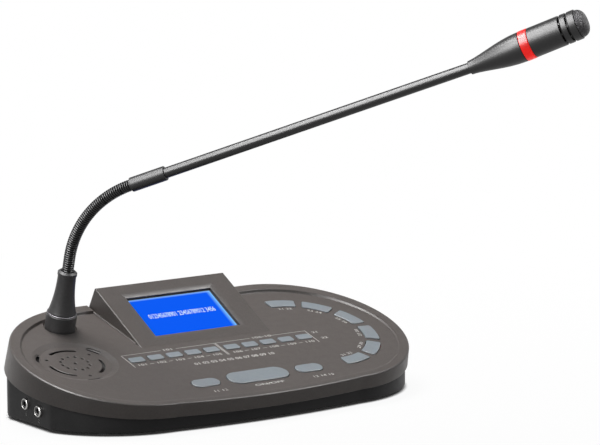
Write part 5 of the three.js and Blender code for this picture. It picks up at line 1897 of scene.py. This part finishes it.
class BuildFeet(bpy.types.Operator):
    """Builds the rubber feet and the case screws"""

    bl_idname = "console.feet"
    bl_label = "Feet and screws"

    def execute(self, context):
        high = context.scene.console_sizes.foot_height
        for i, (x, y) in enumerate(FEET, 1):
            self.add_foot(i, high, Matrix.Translation((x * MM, y * MM, 0)))
        for i, (x, y) in enumerate(SCREWS, 1):
            self.add_screw(i, Matrix.Translation((x * MM, y * MM, 0)))
        return {"FINISHED"}

    def add_foot(self, number, high, place):
        """A foot that narrows a little to the desk and stands in the tray's recess."""
        radius, draft, into_tray = 6 * MM, 0.3 * MM, 0.5 * MM
        corners = [
            (0, -high, 0),
            (radius - draft, -high, 0.5 * MM),
            (radius, into_tray, 0),
            (0, into_tray, 0),
        ]
        piece = mesh_object(f"foot_{number}_moulding", *lathe(filleted(corners), 48), place)
        dress(piece, "rubber", replaces=[f"rubber_foot_{number}"])

    def add_screw(self, number, place):
        """A screw with a domed head and a cross in it."""
        head, shank, under_head, length = 2.8, 1.2, 1.2, 10
        corners = [
            (0, 0, 0),
            (2.5, 0.05, 0.3),
            (head, 0.5, 0.1),
            (head, under_head, 0),
            (shank, under_head, 0),
            (shank, length, 0),
            (0, length, 0),
        ]
        piece = mesh_object(f"screw_{number}_turned", *lathe(filleted(in_mm(corners)), 32))
        long, short = 3.2 * MM, 0.7 * MM
        for width, height in ((long, short), (short, long)):
            bar = rounded_rectangle((0, 0), width, height, 0.2 * MM, 2)
            carve(piece, [prism(bar, -1 * MM, 0.7 * MM)])
        piece.data.transform(place)
        dress(piece, "plated_steel", replaces=[f"case_screw_{number}"], smooth=30)


class DressInside(bpy.types.Operator):
    """Gives the pieces inside the case their finishes"""

    bl_idname = "console.inside"
    bl_label = "Inside pieces"

    def execute(self, context):
        finishes = {
            "display_board": "circuit_board",
            "main_board": "circuit_board",
            "keypad_mat": "rubber",
            "speaker_frame": "painted_steel",
            "speaker_cone": "cone_paper",
            "speaker_magnet": "black_plastic",
            "neck_nut": "plated_steel",
            "capsule": "black_plastic",
        }
        for node, name in finishes.items():
            if not NODES[node].material_slots:
                NODES[node].data.materials.append(material_of(name))
            for slot in NODES[node].material_slots:
                slot.material = material_of(name)
        return {"FINISHED"}


class ConsolePanel(bpy.types.Panel):
    """Lists the console's pieces and sizes"""

    bl_idname = "VIEW3D_PT_console"
    bl_label = "Desk console"
    bl_space_type = "VIEW_3D"
    bl_region_type = "UI"
    bl_category = "Console"

    def draw(self, context):
        column = self.layout.column(align=True)
        for step in STEPS:
            column.operator(step.bl_idname)
        for field in GROUPS:
            group = getattr(context.scene, field)
            box = self.layout.box()
            for name in group.__annotations__:
                box.prop(group, name)


STEPS = (
    BuildStage,
    BuildTopShell,
    BuildTray,
    BuildFeet,
    BuildJacks,
    BuildBusSocket,
    BuildDisplayHood,
    BuildDisplay,
    BuildChannelKeys,
    BuildOvalKeys,
    BuildArcKeys,
    BuildPrinting,
    BuildNeckMount,
    BuildGooseneck,
    BuildStem,
    BuildHead,
    DressInside,
)
GROUPS = {
    "console_sizes": ConsoleSizes,
    "key_sizes": KeySizes,
    "display_sizes": DisplaySizes,
    "speaker_sizes": SpeakerSizes,
    "arm_sizes": ArmSizes,
    "console_finish": Finishes,
}


def register():
    for group in GROUPS.values():
        bpy.utils.register_class(group)
    for step in (*STEPS, ConsolePanel):
        bpy.utils.register_class(step)
    for field, group in GROUPS.items():
        setattr(bpy.types.Scene, field, PointerProperty(type=group))


def unregister():
    for field in GROUPS:
        delattr(bpy.types.Scene, field)
    for step in (ConsolePanel, *reversed(STEPS)):
        bpy.utils.unregister_class(step)
    for group in reversed(GROUPS.values()):
        bpy.utils.unregister_class(group)


def main():
    register()
    for step in STEPS:
        area, name = step.bl_idname.split(".")
        getattr(getattr(bpy.ops, area), name)()


if __name__ == "__main__":
    main()
